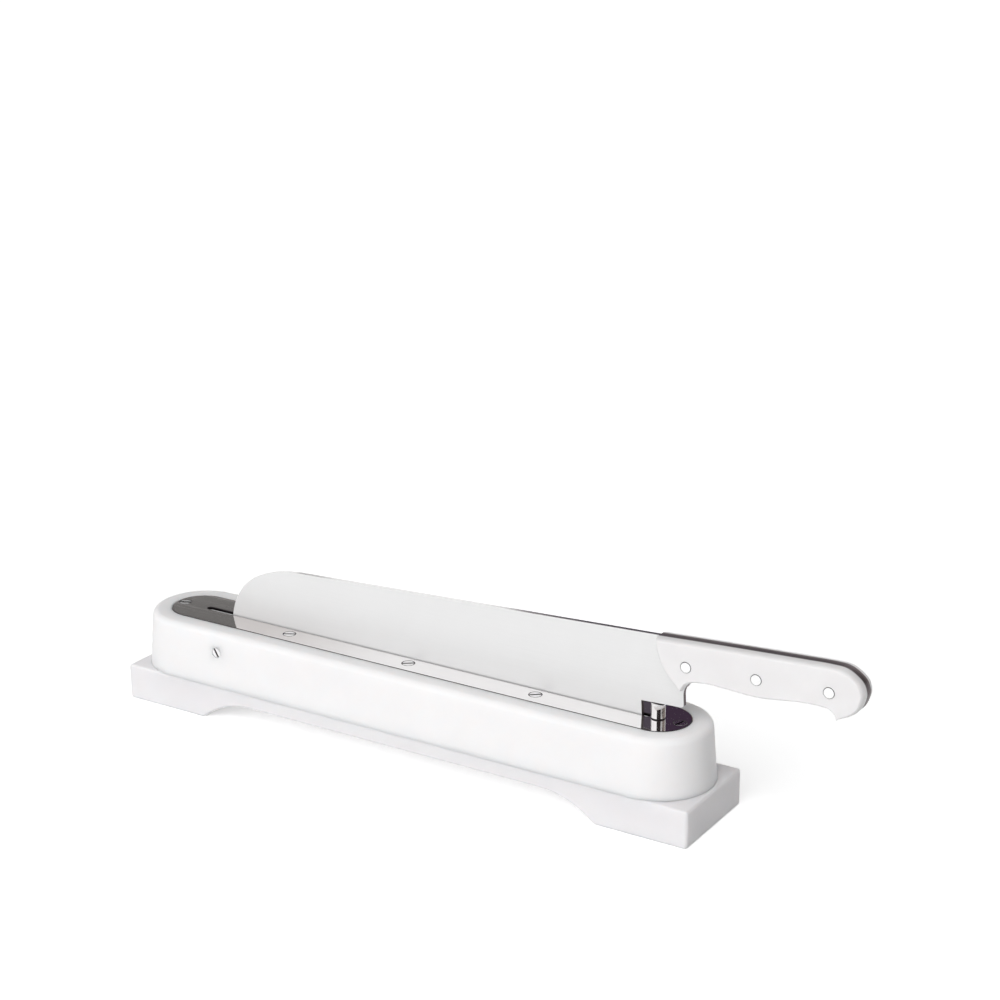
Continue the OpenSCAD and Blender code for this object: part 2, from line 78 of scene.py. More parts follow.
# Both grids of screws, in the order that they are made in
SCREW_GRID = [f"{side}_{column}" for side in ("near", "far") for column in ("left", "middle", "right")]

Point = tuple[float, float]
Ring = list[Vector]
Colour = tuple[float, float, float]
WHITE = (1.0, 1.0, 1.0)


class Body(str, Enum):
    """The frame's bodies."""

    BASE = "base"
    KNIFE = "knife"


class Axis(Enum):
    """The direction that a turned form points in, as the turn about X that takes Z there."""

    UP = 0.0
    DOWN = math.pi
    NEAR = math.pi / 2
    FAR = -math.pi / 2


# Places read from the frame


@dataclass(frozen=True)
class Box:
    """The box of a frame node at rest."""

    lo: Vector
    hi: Vector

    @classmethod
    def of(cls, node: str) -> "Box":
        """Reads the box of one node.

        Args:
            node: The node's name.

        Returns:
            Its box.
        """
        return cls(*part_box(node))

    @property
    def mid(self) -> Vector:
        """The middle of the box."""
        return (self.lo + self.hi) / 2

    @property
    def size(self) -> Vector:
        """The lengths of the box's sides."""
        return self.hi - self.lo


@dataclass(frozen=True)
class Places:
    """Where the frame's main pieces lie, which every sub-assembly is built round."""

    pivot: Vector
    board: Box
    block: Box
    plate: Box
    post: Box

    @classmethod
    def from_frame(cls) -> "Places":
        """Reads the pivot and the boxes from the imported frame.

        Returns:
            The places.
        """
        return cls(
            Vector(frame["joints"][0]["pos_m"]),
            Box.of("base_board"), Box.of("block"), Box.of("top_plate"), Box.of("stop_post"))

    @property
    def plate_r(self) -> float:
        """Radius of the plate's round ends."""
        return self.plate.size.y / 2

    @property
    def top_z(self) -> float:
        """Height of the plate's top."""
        return self.plate.hi.z

    @property
    def caps(self) -> Point:
        """Where the middles of the two round ends lie along X, shared by plate and block."""
        return self.plate.lo.x + self.plate_r, self.plate.hi.x - self.plate_r


# Outlines


def arc(middle: Point, r: float, start: float, end: float, step: float = ARC_STEP) -> list[Point]:
    """Points along an arc, both ends included.

    Args:
        middle: The arc's middle.
        r: Its radius.
        start: The angle of its first point, in degrees.
        end: The angle of its last point, in degrees.
        step: The most degrees between two points.

    Returns:
        The points in order.
    """
    steps = max(1, math.ceil(abs(end - start) / step))
    turns = (math.radians(start + (end - start) * i / steps) for i in range(steps + 1))
    return [(middle[0] + r * math.cos(t), middle[1] + r * math.sin(t)) for t in turns]


def bezier(a: Point, b: Point, c: Point, d: Point, steps: int) -> list[Point]:
    """Points between the ends of a cubic curve, without the ends.

    Args:
        a: The first end.
        b: The point that the curve leaves a towards.
        c: The point that the curve comes to d from.
        d: The last end.
        steps: How many parts the curve is cut into.

    Returns:
        The points in order.
    """
    found = []
    for i in range(1, steps):
        t = i / steps
        s = 1 - t
        weights = (s * s * s, 3 * s * s * t, 3 * s * t * t, t * t * t)
        found.append(tuple(sum(w * p[k] for w, p in zip(weights, (a, b, c, d))) for k in (0, 1)))
    return found


def spline(points: Sequence[Point], steps: int) -> list[Point]:
    """A smooth curve through every point but the first and the last, which only guide it.

    Args:
        points: The points.
        steps: How many parts lie between two neighbours.

    Returns:
        The curve's points, without its end.
    """
    found = []
    for i in range(1, len(points) - 2):
        before, here, after, beyond = points[i - 1:i + 3]
        for j in range(steps):
            t = j / steps
            found.append(tuple(
                0.5 * (2 * q + (r - p) * t + (2 * p - 5 * q + 4 * r - s) * t * t
                       + (3 * q - p - 3 * r + s) * t * t * t)
                for p, q, r, s in zip(before, here, after, beyond)))
    return found


def stadium(x0: float, x1: float, r: float) -> list[Point]:
    """An outline with two round ends.

    Args:
        x0: The middle of the end at the low side.
        x1: The middle of the end at the high side.
        r: The radius of both ends.

    Returns:
        The outline's points, anticlockwise.
    """
    return arc((x1, 0), r, -90, 90) + arc((x0, 0), r, 90, 270)


# Meshes


def new_object(name: str, points: Iterable[Vector], faces: Iterable[Sequence[int]] = (),
               edges: Iterable[Sequence[int]] = ()) -> bpy.types.Object:
    """Makes an object at the origin from points, faces and edges.

    Args:
        name: The piece's name.
        points: Its points.
        faces: Its faces, as indices of points.
        edges: The edges that belong to no face, as indices of points.

    Returns:
        The object, linked to the scene.
    """
    mesh = bpy.data.meshes.new(name)
    mesh.from_pydata([tuple(p) for p in points], list(edges), list(faces))
    piece = bpy.data.objects.new(name, mesh)
    bpy.context.scene.collection.objects.link(piece)
    return piece


@contextmanager
def edited(piece: bpy.types.Object) -> Iterator[bmesh.types.BMesh]:
    """Opens a piece's mesh for editing, and writes it back at the end.

    Args:
        piece: The piece.

    Yields:
        Its mesh, open for editing.
    """
    form = bmesh.new()
    form.from_mesh(piece.data)
    yield form
    form.to_mesh(piece.data)
    form.free()


def loft(name: str, rings: Sequence[Ring]) -> bpy.types.Object:
    """A closed body through rings of as many points each, capped by the first and the last.

    Args:
        name: The piece's name.
        rings: The rings in order.

    Returns:
        The body, with its faces outwards.
    """
    count = len(rings[0])
    faces = [list(range(count)), [(len(rings) - 1) * count + i for i in range(count)]]
    for k in range(len(rings) - 1):
        for i in range(count):
            j = (i + 1) % count
            faces.append([k * count + i, k * count + j, (k + 1) * count + j, (k + 1) * count + i])
    piece = new_object(name, [p for ring in rings for p in ring], faces)
    with edited(piece) as form:
        bmesh.ops.remove_doubles(form, verts=form.verts, dist=SAME_POINT)
        bmesh.ops.recalc_face_normals(form, faces=form.faces)
    return piece


def prism(name: str, outline: Sequence[Point], lo: float, hi: float) -> bpy.types.Object:
    """A flat form in the top view, extruded upwards from lo to hi."""
    return loft(name, [[Vector((x, y, z)) for x, y in outline] for z in (lo, hi)])


def side_prism(name: str, outline: Sequence[Point], lo: float, hi: float) -> bpy.types.Object:
    """A flat form in the side view, extruded along Y from lo to hi."""
    return loft(name, [[Vector((x, y, z)) for x, z in outline] for y in (lo, hi)])


def turned(name: str, profile: Sequence[Point], place: Vector, axis: Axis = Axis.UP,
           sides: int = ROUND_SIDES) -> bpy.types.Object:
    """A body turned on a lathe.

    Args:
        name: The piece's name.
        profile: Its radius and its place along the axis, ring by ring.
        place: Where the axis starts.
        axis: The direction that the profile runs in.
        sides: How many sides each ring has.

    Returns:
        The body.
    """
    turn = Matrix.Rotation(axis.value, 3, "X")
    circle = [math.tau * i / sides for i in range(sides)]
    return loft(name, [
        [place + turn @ Vector((r * math.cos(t), r * math.sin(t), along)) for t in circle]
        for r, along in profile])


def bake(piece: bpy.types.Object) -> bpy.types.Object:
    """Turns a piece and its modifiers into a plain mesh.

    Args:
        piece: The piece.

    Returns:
        The same piece, with no modifier left.
    """
    bpy.context.view_layer.update()
    graph = bpy.context.evaluated_depsgraph_get()
    mesh = bpy.data.meshes.new_from_object(piece.evaluated_get(graph))
    mesh.name = piece.name
    piece.modifiers.clear()
    piece.data = mesh
    return piece


def cut(piece: bpy.types.Object, *tools: bpy.types.Object) -> bpy.types.Object:
    """Takes the space of each tool out of a piece, and deletes the tools.

    Args:
        piece: The piece.
        tools: The bodies to take out.

    Returns:
        The same piece.
    """
    for tool in tools:
        modifier = piece.modifiers.new("cut", "BOOLEAN")
        modifier.operation = "DIFFERENCE"
        modifier.solver = "EXACT"
        modifier.object = tool
    bake(piece)
    for tool in tools:
        bpy.data.objects.remove(tool)
    return piece


def ease(piece: bpy.types.Object, width: float, steps: int = 3,
         where: Callable[[Vector], bool] = lambda middle: True) -> bpy.types.Object:
    """Rounds the sharp edges of a piece.

    Args:
        piece: The piece.
        width: The width of the rounding.
        steps: How many facets it has.
        where: Tells from an edge's middle whether that edge is rounded.

    Returns:
        The same piece.
    """
    with edited(piece) as form:
        weight = form.edges.layers.float.new("bevel_weight_edge")
        for edge in form.edges:
            sharp = len(edge.link_faces) == 2 and edge.calc_face_angle(0.0) > math.radians(ROUNDED_ANGLE)
            if sharp and where((edge.verts[0].co + edge.verts[1].co) / 2):
                edge[weight] = 1.0
    modifier = piece.modifiers.new("ease", "BEVEL")
    modifier.limit_method = "WEIGHT"
    modifier.width = width
    modifier.segments = steps
    modifier.use_clamp_overlap = False
    return bake(piece)


def shade(piece: bpy.types.Object) -> bpy.types.Object:
    """Smooths the round faces of a piece and keeps its flat faces flat.

    Args:
        piece: The piece.

    Returns:
        The same piece.
    """
    piece.data.shade_smooth()
    piece.data.set_sharp_from_angle(angle=math.radians(SMOOTH_ANGLE))
    modifier = piece.modifiers.new("normals", "WEIGHTED_NORMAL")
    modifier.keep_sharp = True
    modifier.weight = FLAT_WEIGHT
    return bake(piece)


def dress_faces(piece: bpy.types.Object, finishes: Sequence["Finish"],
                pick: Callable[[bpy.types.MeshPolygon], "Finish"]) -> bpy.types.Object:
    """Gives a piece several finishes, face by face.

    Args:
        piece: The piece.
        finishes: All its finishes, the main one first.
        pick: Tells a face's finish.

    Returns:
        The same piece.
    """
    piece.data.materials.clear()
    for finish in finishes:
        piece.data.materials.append(finish.material())
    for face in piece.data.polygons:
        face.material_index = finishes.index(pick(face))
    return piece


def hand_over(piece: bpy.types.Object, body: Body, nodes: Sequence[str]) -> None:
    """Gives a finished piece to the frame and reports it.

    Args:
        piece: The piece, dressed and in place.
        body: The body that it rides on.
        nodes: The frame's nodes that it stands for.
    """
    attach(piece, body.value)
    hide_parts(*nodes)
    log.info("%s: %d faces, rides on %s, stands for %s",
             piece.name, len(piece.data.polygons), body.value, ", ".join(nodes))


# Node trees


class Tree:
    """Builds a node tree with short calls."""

    def __init__(self, tree: bpy.types.NodeTree) -> None:
        """Keeps the tree that the nodes go into."""
        self.tree = tree

    def add(self, kind: str, inputs: dict | None = None, **settings: object) -> bpy.types.Node:
        """Adds a node.

        Args:
            kind: The node's type.
            inputs: What each input socket, by name or number, is linked or set to.
            settings: The node's own properties.

        Returns:
            The node.
        """
        node = self.tree.nodes.new(kind)
        for name, value in settings.items():
            setattr(node, name, value)
        for key, value in (inputs or {}).items():
            self.feed(node.inputs[key], value)
        return node

    def feed(self, socket: bpy.types.NodeSocket, value: object) -> None:
        """Links a socket to a node or socket, or sets its value.

        Args:
            socket: The input to feed.
            value: A node, whose first output is taken, or a socket, or a plain value.
        """
        if isinstance(value, bpy.types.Node):
            value = value.outputs[0]
        if isinstance(value, bpy.types.NodeSocket):
            self.tree.links.new(value, socket)
        else:
            socket.default_value = value

    def math(self, operation: str, *values: object) -> bpy.types.Node:
        """Adds a Math node of that operation."""
        return self.add("ShaderNodeMath", dict(enumerate(values)), operation=operation)


class FormTree(Tree):
    """A Geometry Nodes tree with named sizes, whose result becomes a plain mesh."""

    def __init__(self, name: str, sizes: dict[str, float]) -> None:
        """Makes the tree with its inputs.

        Args:
            name: The tree's name.
            sizes: The name and the value of each size.
        """
        super().__init__(bpy.data.node_groups.new(name, "GeometryNodeTree"))
        self.sizes = sizes
        sockets = self.tree.interface
        sockets.new_socket("Seeds", in_out="INPUT", socket_type="NodeSocketGeometry")
        for size in sizes:
            sockets.new_socket(size, in_out="INPUT", socket_type="NodeSocketFloat")
        sockets.new_socket("Finish", in_out="INPUT", socket_type="NodeSocketMaterial")
        sockets.new_socket("Form", in_out="OUTPUT", socket_type="NodeSocketGeometry")
        self.given = self.tree.nodes.new("NodeGroupInput").outputs

    def lifted(self, geometry: object, height: object) -> bpy.types.Node:
        """Adds a node that moves a form up."""
        place = self.add("ShaderNodeCombineXYZ", {2: height})
        return self.add("GeometryNodeTransform", {"Geometry": geometry, "Translation": place})

    def joined(self, *parts: object) -> bpy.types.Node:
        """Adds a node that joins forms into one.

        Args:
            parts: The forms.

        Returns:
            The node.
        """
        node = self.add("GeometryNodeJoinGeometry")
        for part in reversed(parts):
            self.feed(node.inputs[0], part)
        return node

    def without(self, form: object, *tools: object) -> bpy.types.Node:
        """Adds a node that takes tools out of a form.

        Args:
            form: The form.
            tools: The forms to take out.

        Returns:
            The node.
        """
        node = self.add("GeometryNodeMeshBoolean", {0: form}, operation="DIFFERENCE", solver="EXACT")
        for tool in tools:
            self.feed(node.inputs[1], tool)
        return node

    def lathe(self, steps: Sequence[tuple[object, object, object]]) -> bpy.types.Node:
        """Adds a turned form that runs down from the origin.

        Args:
            steps: For each ring, its upper radius, its lower radius and how far it drops.

        Returns:
            The node whose result is the closed form.
        """
        rings, depth = [], 0.0
        for upper, lower, drop in steps:
            depth = self.math("ADD", depth, drop)
            cone = self.add("GeometryNodeMeshCone", {
                "Vertices": ROUND_SIDES, "Radius Top": upper, "Radius Bottom": lower, "Depth": drop},
                fill_type="NONE")
            rings.append(self.lifted(cone, self.math("MULTIPLY", depth, -1.0)))
        return self.add("GeometryNodeMergeByDistance", {
            "Geometry": self.joined(*rings), "Distance": SAME_POINT})

    def close(self, geometry: object) -> None:
        """Ends the tree in real geometry with its finish set.

        Args:
            geometry: The finished form.
        """
        real = self.add("GeometryNodeRealizeInstances", {"Geometry": geometry})
        dressed = self.add("GeometryNodeSetMaterial", {"Geometry": real, "Material": self.given["Finish"]})
        self.add("NodeGroupOutput", {0: dressed})

    def grow(self, seeds: bpy.types.Object, material: bpy.types.Material) -> bpy.types.Object:
        """Runs the tree on an object.

        Args:
            seeds: The object whose mesh the tree starts from.
            material: The finish that the tree sets.

        Returns:
            The same object, with the result as its plain mesh.
        """
        modifier = seeds.modifiers.new(self.tree.name, "NODES")
        modifier.node_group = self.tree
        values = {**self.sizes, "Finish": material}
        for item in self.tree.interface.items_tree:
            if item.in_out == "INPUT" and item.name in values:
                modifier[item.identifier] = values[item.name]
        return bake(seeds)


# Finishes


class Marks(Enum):
    """The marks that making leaves on a surface, as how fast they change along X, Y and Z, per metre."""

    LENGTHWISE = (14.0, 1400.0, 1400.0)
    UPRIGHT = (700.0, 700.0, 25.0)
    CROSSWISE = (1500.0, 20.0, 60.0)


@dataclass(frozen=True)
class Finish:
    """A surface finish, which the record's slot of that name stands for."""

    slot: str
    colour: Colour
    roughness: float
    name: str = ""

    def material(self) -> bpy.types.Material:
        """Makes the finish's material once, and gives it again after that.

        Returns:
            The material.
        """
        # The frame's own plain materials already hold the slots' names
        label = f"{self.name or self.slot}_finish"
        found = bpy.data.materials.get(label)
        if found:
            return found
        made = bpy.data.materials.new(label)
        made.use_nodes = True
        nodes = Tree(made.node_tree)
        shader = made.node_tree.nodes["Principled BSDF"]
        shader.inputs["Base Color"].default_value = (*self.colour, 1.0)
        shader.inputs["Roughness"].default_value = self.roughness
        self.detail(nodes, shader)
        return made

    def detail(self, nodes: Tree, shader: bpy.types.Node) -> None:
        """Adds the finish's pattern; each kind of finish has its own."""

    def dress(self, piece: bpy.types.Object) -> bpy.types.Object:
        """Gives a piece this finish all over.

        Args:
            piece: The piece.

        Returns:
            The same piece.
        """
        piece.data.materials.clear()
        piece.data.materials.append(self.material())
        return piece


# How much of a noise pattern its finer waves make up
WAVE_SHARE = 0.55
# The range that holds most of a noise pattern's values
MIDDLE_RANGE = (0.3, 0.7)


def noise(nodes: Tree, place: object, scale: float, detail: float = 2.0) -> bpy.types.NodeSocket:
    """Adds a noise pattern and gives its value socket."""
    return nodes.add("ShaderNodeTexNoise", {
        "Vector": place, "Scale": scale, "Detail": detail, "Roughness": WAVE_SHARE}).outputs[0]


def spread(nodes: Tree, value: object, low: float = 0.0, high: float = 1.0,
           source: Point = MIDDLE_RANGE) -> bpy.types.Node:
    """Adds a node that spreads a source range of values between two others, clamped there."""
    return nodes.add("ShaderNodeMapRange", {
        "Value": value, "From Min": source[0], "From Max": source[1], "To Min": low, "To Max": high})


def relief(nodes: Tree, shader: bpy.types.Node, height: object, depth: float, strength: float = 0.4) -> None:
    """Adds a bump of that depth to the shader."""
    bump = nodes.add("ShaderNodeBump", {"Strength": strength, "Distance": depth, "Height": height})
    nodes.feed(shader.inputs["Normal"], bump)


def blend(nodes: Tree, share: object, first: object, second: object) -> bpy.types.NodeSocket:
    """Adds a mix of two colours, written or linked, and gives its colour socket.

    Args:
        nodes: The material's tree.
        share: The second colour's share.
        first: The first colour.
        second: The second colour.

    Returns:
        The socket of the mixed colour.
    """
    mix = nodes.add("ShaderNodeMix", {"Factor": share}, data_type="RGBA")
    for socket, colour in ((mix.inputs[6], first), (mix.inputs[7], second)):
        nodes.feed(socket, (*colour, 1.0) if isinstance(colour, tuple) else colour)
    return mix.outputs[2]


@dataclass(frozen=True)
class WhitePlastic(Finish):
    """White polyethylene or acetal: cloudy, a little translucent, with fine tool marks."""

    shade: Colour = (0.8, 0.8, 0.8)
    cloud_size: float = 45 * MM
    marks: Marks = Marks.LENGTHWISE
    marks_share: float = 0.7
    mark_depth: float = 0.01 * MM
    mark_strength: float = 0.5
    # Waves per metre
    grain: float = 1100.0
    rough_range: float = 0.05
    gloss: float = 0.4
    glow: float = 0.8
    glow_depth: float = 8 * MM
    glow_colour: Colour = (1.0, 0.92, 0.88)
    # Dirt at a joint and painted shade beside it: its middle along Y, how far out it stays full, where it
    # ends, and its tone
    dirt_and_shade_at: float = 0.0
    dirt_and_shade_from: float = 0.0
    dirt_and_shade_to: float = 0.0
    dirt_and_shade: Colour = (0.13, 0.105, 0.108)

    def detail(self, nodes: Tree, shader: bpy.types.Node) -> None:
        """Adds the clouding, the tool marks and the light that goes under the surface.

        Args:
            nodes: The material's tree.
            shader: Its shader.
        """
        place = nodes.add("ShaderNodeTexCoord").outputs["Object"]
        cloud = noise(nodes, place, 1 / self.cloud_size, 3.0)
        face = blend(nodes, spread(nodes, cloud), self.colour, self.shade)
        if self.dirt_and_shade_to:
            # Dirt where the scales meet the tang, with painted shade that reaches further up the far scale's
            # top than the near one
            y = nodes.add("ShaderNodeSeparateXYZ", {0: place}).outputs[1]
            off = nodes.math("ABSOLUTE", nodes.math("SUBTRACT", y, self.dirt_and_shade_at))
            face = blend(nodes, spread(nodes, off, source=(self.dirt_and_shade_to, self.dirt_and_shade_from)), face, self.dirt_and_shade)
        nodes.feed(shader.inputs["Base Color"], face)
        stretched = nodes.add("ShaderNodeMapping", {"Vector": place, "Scale": self.marks.value})
        lines = nodes.math("MULTIPLY", noise(nodes, stretched, 1.0), self.marks_share)
        grain = nodes.math("MULTIPLY", noise(nodes, place, self.grain, 3.0), 1 - self.marks_share)
        height = nodes.math("ADD", lines, grain)
        relief(nodes, shader, height, self.mark_depth, self.mark_strength)
        nodes.feed(shader.inputs["Roughness"], spread(
            nodes, height, self.roughness - self.rough_range, self.roughness + self.rough_range))
        shader.inputs["Specular IOR Level"].default_value = self.gloss
        shader.inputs["Subsurface Weight"].default_value = self.glow
        shader.inputs["Subsurface Radius"].default_value = self.glow_colour
        shader.inputs["Subsurface Scale"].default_value = self.glow_depth


@dataclass(frozen=True)
class Steel(Finish):
    """Stainless steel with ground or polished lines that run one way."""

    shade: Colour = (0.6, 0.6, 0.6)
    metallic: float = 1.0
    marks: Marks = Marks.LENGTHWISE
    mark_depth: float = 0.002 * MM
    rough_range: float = 0.02
    # Waves per metre of the broad pattern that fades the lines, and the range in which they show
    broad: float = 30.0
    line_range: Point = (0.1, 0.4)
    # Fine scratches: how much rougher they are, their turns from X in radians, their waves per metre
    # along and across, and the range of the pattern in which they show
    scratches: float = 0.0
    scratch_turns: Point = (0.35, -0.6)
    scratch_waves: Colour = (6.0, 500.0, 500.0)
    scratch_range: Point = (0.66, 0.72)
    # A painted darker reflection towards one end: its tone, and where along X it is full and where it begins
    reflection_shade: Colour = WHITE
    reflection_shade_at: float = -160 * MM
    reflection_shade_from: float = -60 * MM

    def detail(self, nodes: Tree, shader: bpy.types.Node) -> None:
        """Adds the lines, the change of gloss along them, any fine scratches and any painted darker
        reflection towards one end.

        Args:
            nodes: The material's tree.
            shader: Its shader.
        """
        shader.inputs["Metallic"].default_value = self.metallic
        place = nodes.add("ShaderNodeTexCoord").outputs["Object"]
        stretched = nodes.add("ShaderNodeMapping", {"Vector": place, "Scale": self.marks.value})
        lines = noise(nodes, stretched, 1.0, 3.0)
        worn = nodes.math("MULTIPLY", lines, noise(nodes, place, self.broad))
        face = blend(nodes, spread(nodes, worn, source=self.line_range), self.colour, self.shade)
        if self.reflection_shade != WHITE:
            along = nodes.add("ShaderNodeSeparateXYZ", {0: place}).outputs[0]
            face = blend(nodes, spread(nodes, along, source=(self.reflection_shade_from, self.reflection_shade_at)), face, self.reflection_shade)
        nodes.feed(shader.inputs["Base Color"], face)
        rough = spread(nodes, lines, self.roughness - self.rough_range, self.roughness + self.rough_range)
        if self.scratches:
            for turn in self.scratch_turns:
                slanted = nodes.add("ShaderNodeMapping", {
                    "Vector": place, "Rotation": (0, 0, turn), "Scale": self.scratch_waves})
                thin = spread(nodes, noise(nodes, slanted, 1.0, 0.0), 0, self.scratches, self.scratch_range)
                rough = nodes.math("ADD", rough, thin)
        nodes.feed(shader.inputs["Roughness"], rough)
        relief(nodes, shader, lines, self.mark_depth)


@dataclass(frozen=True)
class TurnedMetal(Finish):
    """Metal faced on a lathe, with rings round the axis that a piece keeps in its own attribute."""

    shade: Colour = (0.5, 0.5, 0.5)
    # Painted shade below the face, in the slot and round the rim: its tone, and the depths where it begins
    # and is full
    deep: Colour = (0.03, 0.026, 0.028)
    deep_from: float = 0.01 * MM
    deep_to: float = 0.07 * MM
    ring_pitch: float = 0.25 * MM
    ring_depth: float = 0.003 * MM
    ring_share: float = 0.3
    # Waves per metre, and the range in which the pattern shades the face
    grain: float = 1500.0
    shade_range: Point = (0.2, 1.0)
    rough_range: Point = (-0.05, 0.06)

    ATTRIBUTE = "turned_at"

    def detail(self, nodes: Tree, shader: bpy.types.Node) -> None:
        """Adds the rings, a fine grain and the painted shade below the face.

        Args:
            nodes: The material's tree.
            shader: Its shader.
        """
        shader.inputs["Metallic"].default_value = 1.0
        place = nodes.add("ShaderNodeAttribute", attribute_name=self.ATTRIBUTE).outputs["Vector"]
        x, y, z = nodes.add("ShaderNodeSeparateXYZ", {0: place}).outputs
        radius = nodes.math("SQRT", nodes.math(
            "ADD", nodes.math("POWER", x, 2.0), nodes.math("POWER", y, 2.0)))
        rings = nodes.math("SINE", nodes.math("MULTIPLY", radius, math.tau / self.ring_pitch))
        grain = noise(nodes, place, self.grain)
        height = nodes.math("ADD", nodes.math("MULTIPLY", rings, self.ring_share), grain)
        face = blend(nodes, spread(nodes, height, source=self.shade_range), self.colour, self.shade)
        depth = nodes.math("MULTIPLY", z, -1.0)
        sunk_shade = spread(nodes, depth, source=(self.deep_from, self.deep_to))
        nodes.feed(shader.inputs["Base Color"], blend(nodes, sunk_shade, face, self.deep))
        low, high = (self.roughness + change for change in self.rough_range)
        nodes.feed(shader.inputs["Roughness"], spread(nodes, grain, low, high))
        relief(nodes, shader, height, self.ring_depth)


BLOCK_PLASTIC = WhitePlastic(
    "white_block", (0.91, 0.9, 0.903), 0.42, shade=(0.885, 0.873, 0.878), marks=Marks.UPRIGHT)
BOARD_PLASTIC = WhitePlastic(
    "white_board", (0.83, 0.818, 0.83), 0.5, shade=(0.795, 0.78, 0.795), marks=Marks.LENGTHWISE,
    mark_depth=0.02 * MM)
# The scales get dirt at the tang joint and painted shade along their tops beside it, reaching over the far
# scale's top
SCALE_PLASTIC = WhitePlastic(
    "handle_plastic", (0.865, 0.855, 0.858), 0.34, shade=(0.83, 0.815, 0.82), marks=Marks.LENGTHWISE,
    mark_depth=0.004 * MM, cloud_size=30 * MM, glow=0.3, glow_depth=3 * MM,
    dirt_and_shade_at=0.75 * MM, dirt_and_shade_from=2.25 * MM, dirt_and_shade_to=3.2 * MM)
PLATE_STEEL = Steel(
    "polished_plate", (0.99, 0.975, 0.975), 0.05, shade=(0.96, 0.945, 0.945), mark_depth=0.0002 * MM,
    rough_range=0.01, scratches=0.03, reflection_shade=(0.7, 0.665, 0.655))
# Near-black steel on the plate's rounded edges, slot walls and countersinks and on the post's foot groove:
# painted shade
PLATE_EDGE_SHADE = Steel(
    "polished_plate", (0.05, 0.042, 0.046), 0.4, name="plate_edge_shade", shade=(0.035, 0.03, 0.032),
    mark_depth=0.003 * MM, rough_range=0.06)
POST_STEEL = Steel(
    "polished_post", (0.9, 0.89, 0.89), 0.06, shade=(0.84, 0.83, 0.83), marks=Marks.CROSSWISE,
    mark_depth=0.001 * MM, rough_range=0.015)
BLADE_STEEL = Steel(
    "blade_steel", (0.8, 0.8, 0.8), 0.4, shade=(0.785, 0.785, 0.785), mark_depth=0.002 * MM,
    rough_range=0.03, metallic=0.4)
BEVEL_STEEL = Steel(
    "blade_steel", (0.8, 0.8, 0.8), 0.24, name="blade_bevel", shade=(0.7, 0.7, 0.7),
    marks=Marks.CROSSWISE, mark_depth=0.003 * MM, rough_range=0.05)
SPINE_STEEL = Steel(
    "blade_steel", (0.88, 0.87, 0.87), 0.14, name="blade_spine", shade=(0.8, 0.79, 0.79),
    mark_depth=0.002 * MM, rough_range=0.03)
# Near-black steel on the edges from the heel back: painted shade and painted dark reflection
TANG_EDGE_SHADE = Steel(
    "blade_steel", (0.125, 0.102, 0.108), 0.42, name="blade_tang_shade", shade=(0.085, 0.068, 0.074),
    mark_depth=0.004 * MM, rough_range=0.06)
SCREW_STEEL = TurnedMetal(
    "screw_steel", (0.93, 0.92, 0.925), 0.09, shade=(0.87, 0.86, 0.865), ring_depth=0.001 * MM)
PIVOT_STEEL = TurnedMetal(
    "pivot_steel", (0.9, 0.89, 0.9), 0.34, shade=(0.86, 0.85, 0.86), deep=(0.2, 0.165, 0.175),
    deep_from=0.4 * MM, deep_to=0.7 * MM)
RIVET_METAL = TurnedMetal(
    "rivet_metal", (0.97, 0.965, 0.965), 0.3, shade=(0.93, 0.925, 0.925), ring_depth=0.0015 * MM)


# Fasteners


@dataclass(frozen=True)
class Seed:
    """Where one fastener goes, which way its head looks and how far it is turned."""

    place: Vector
    axis: Axis
    turn: float = 0.0


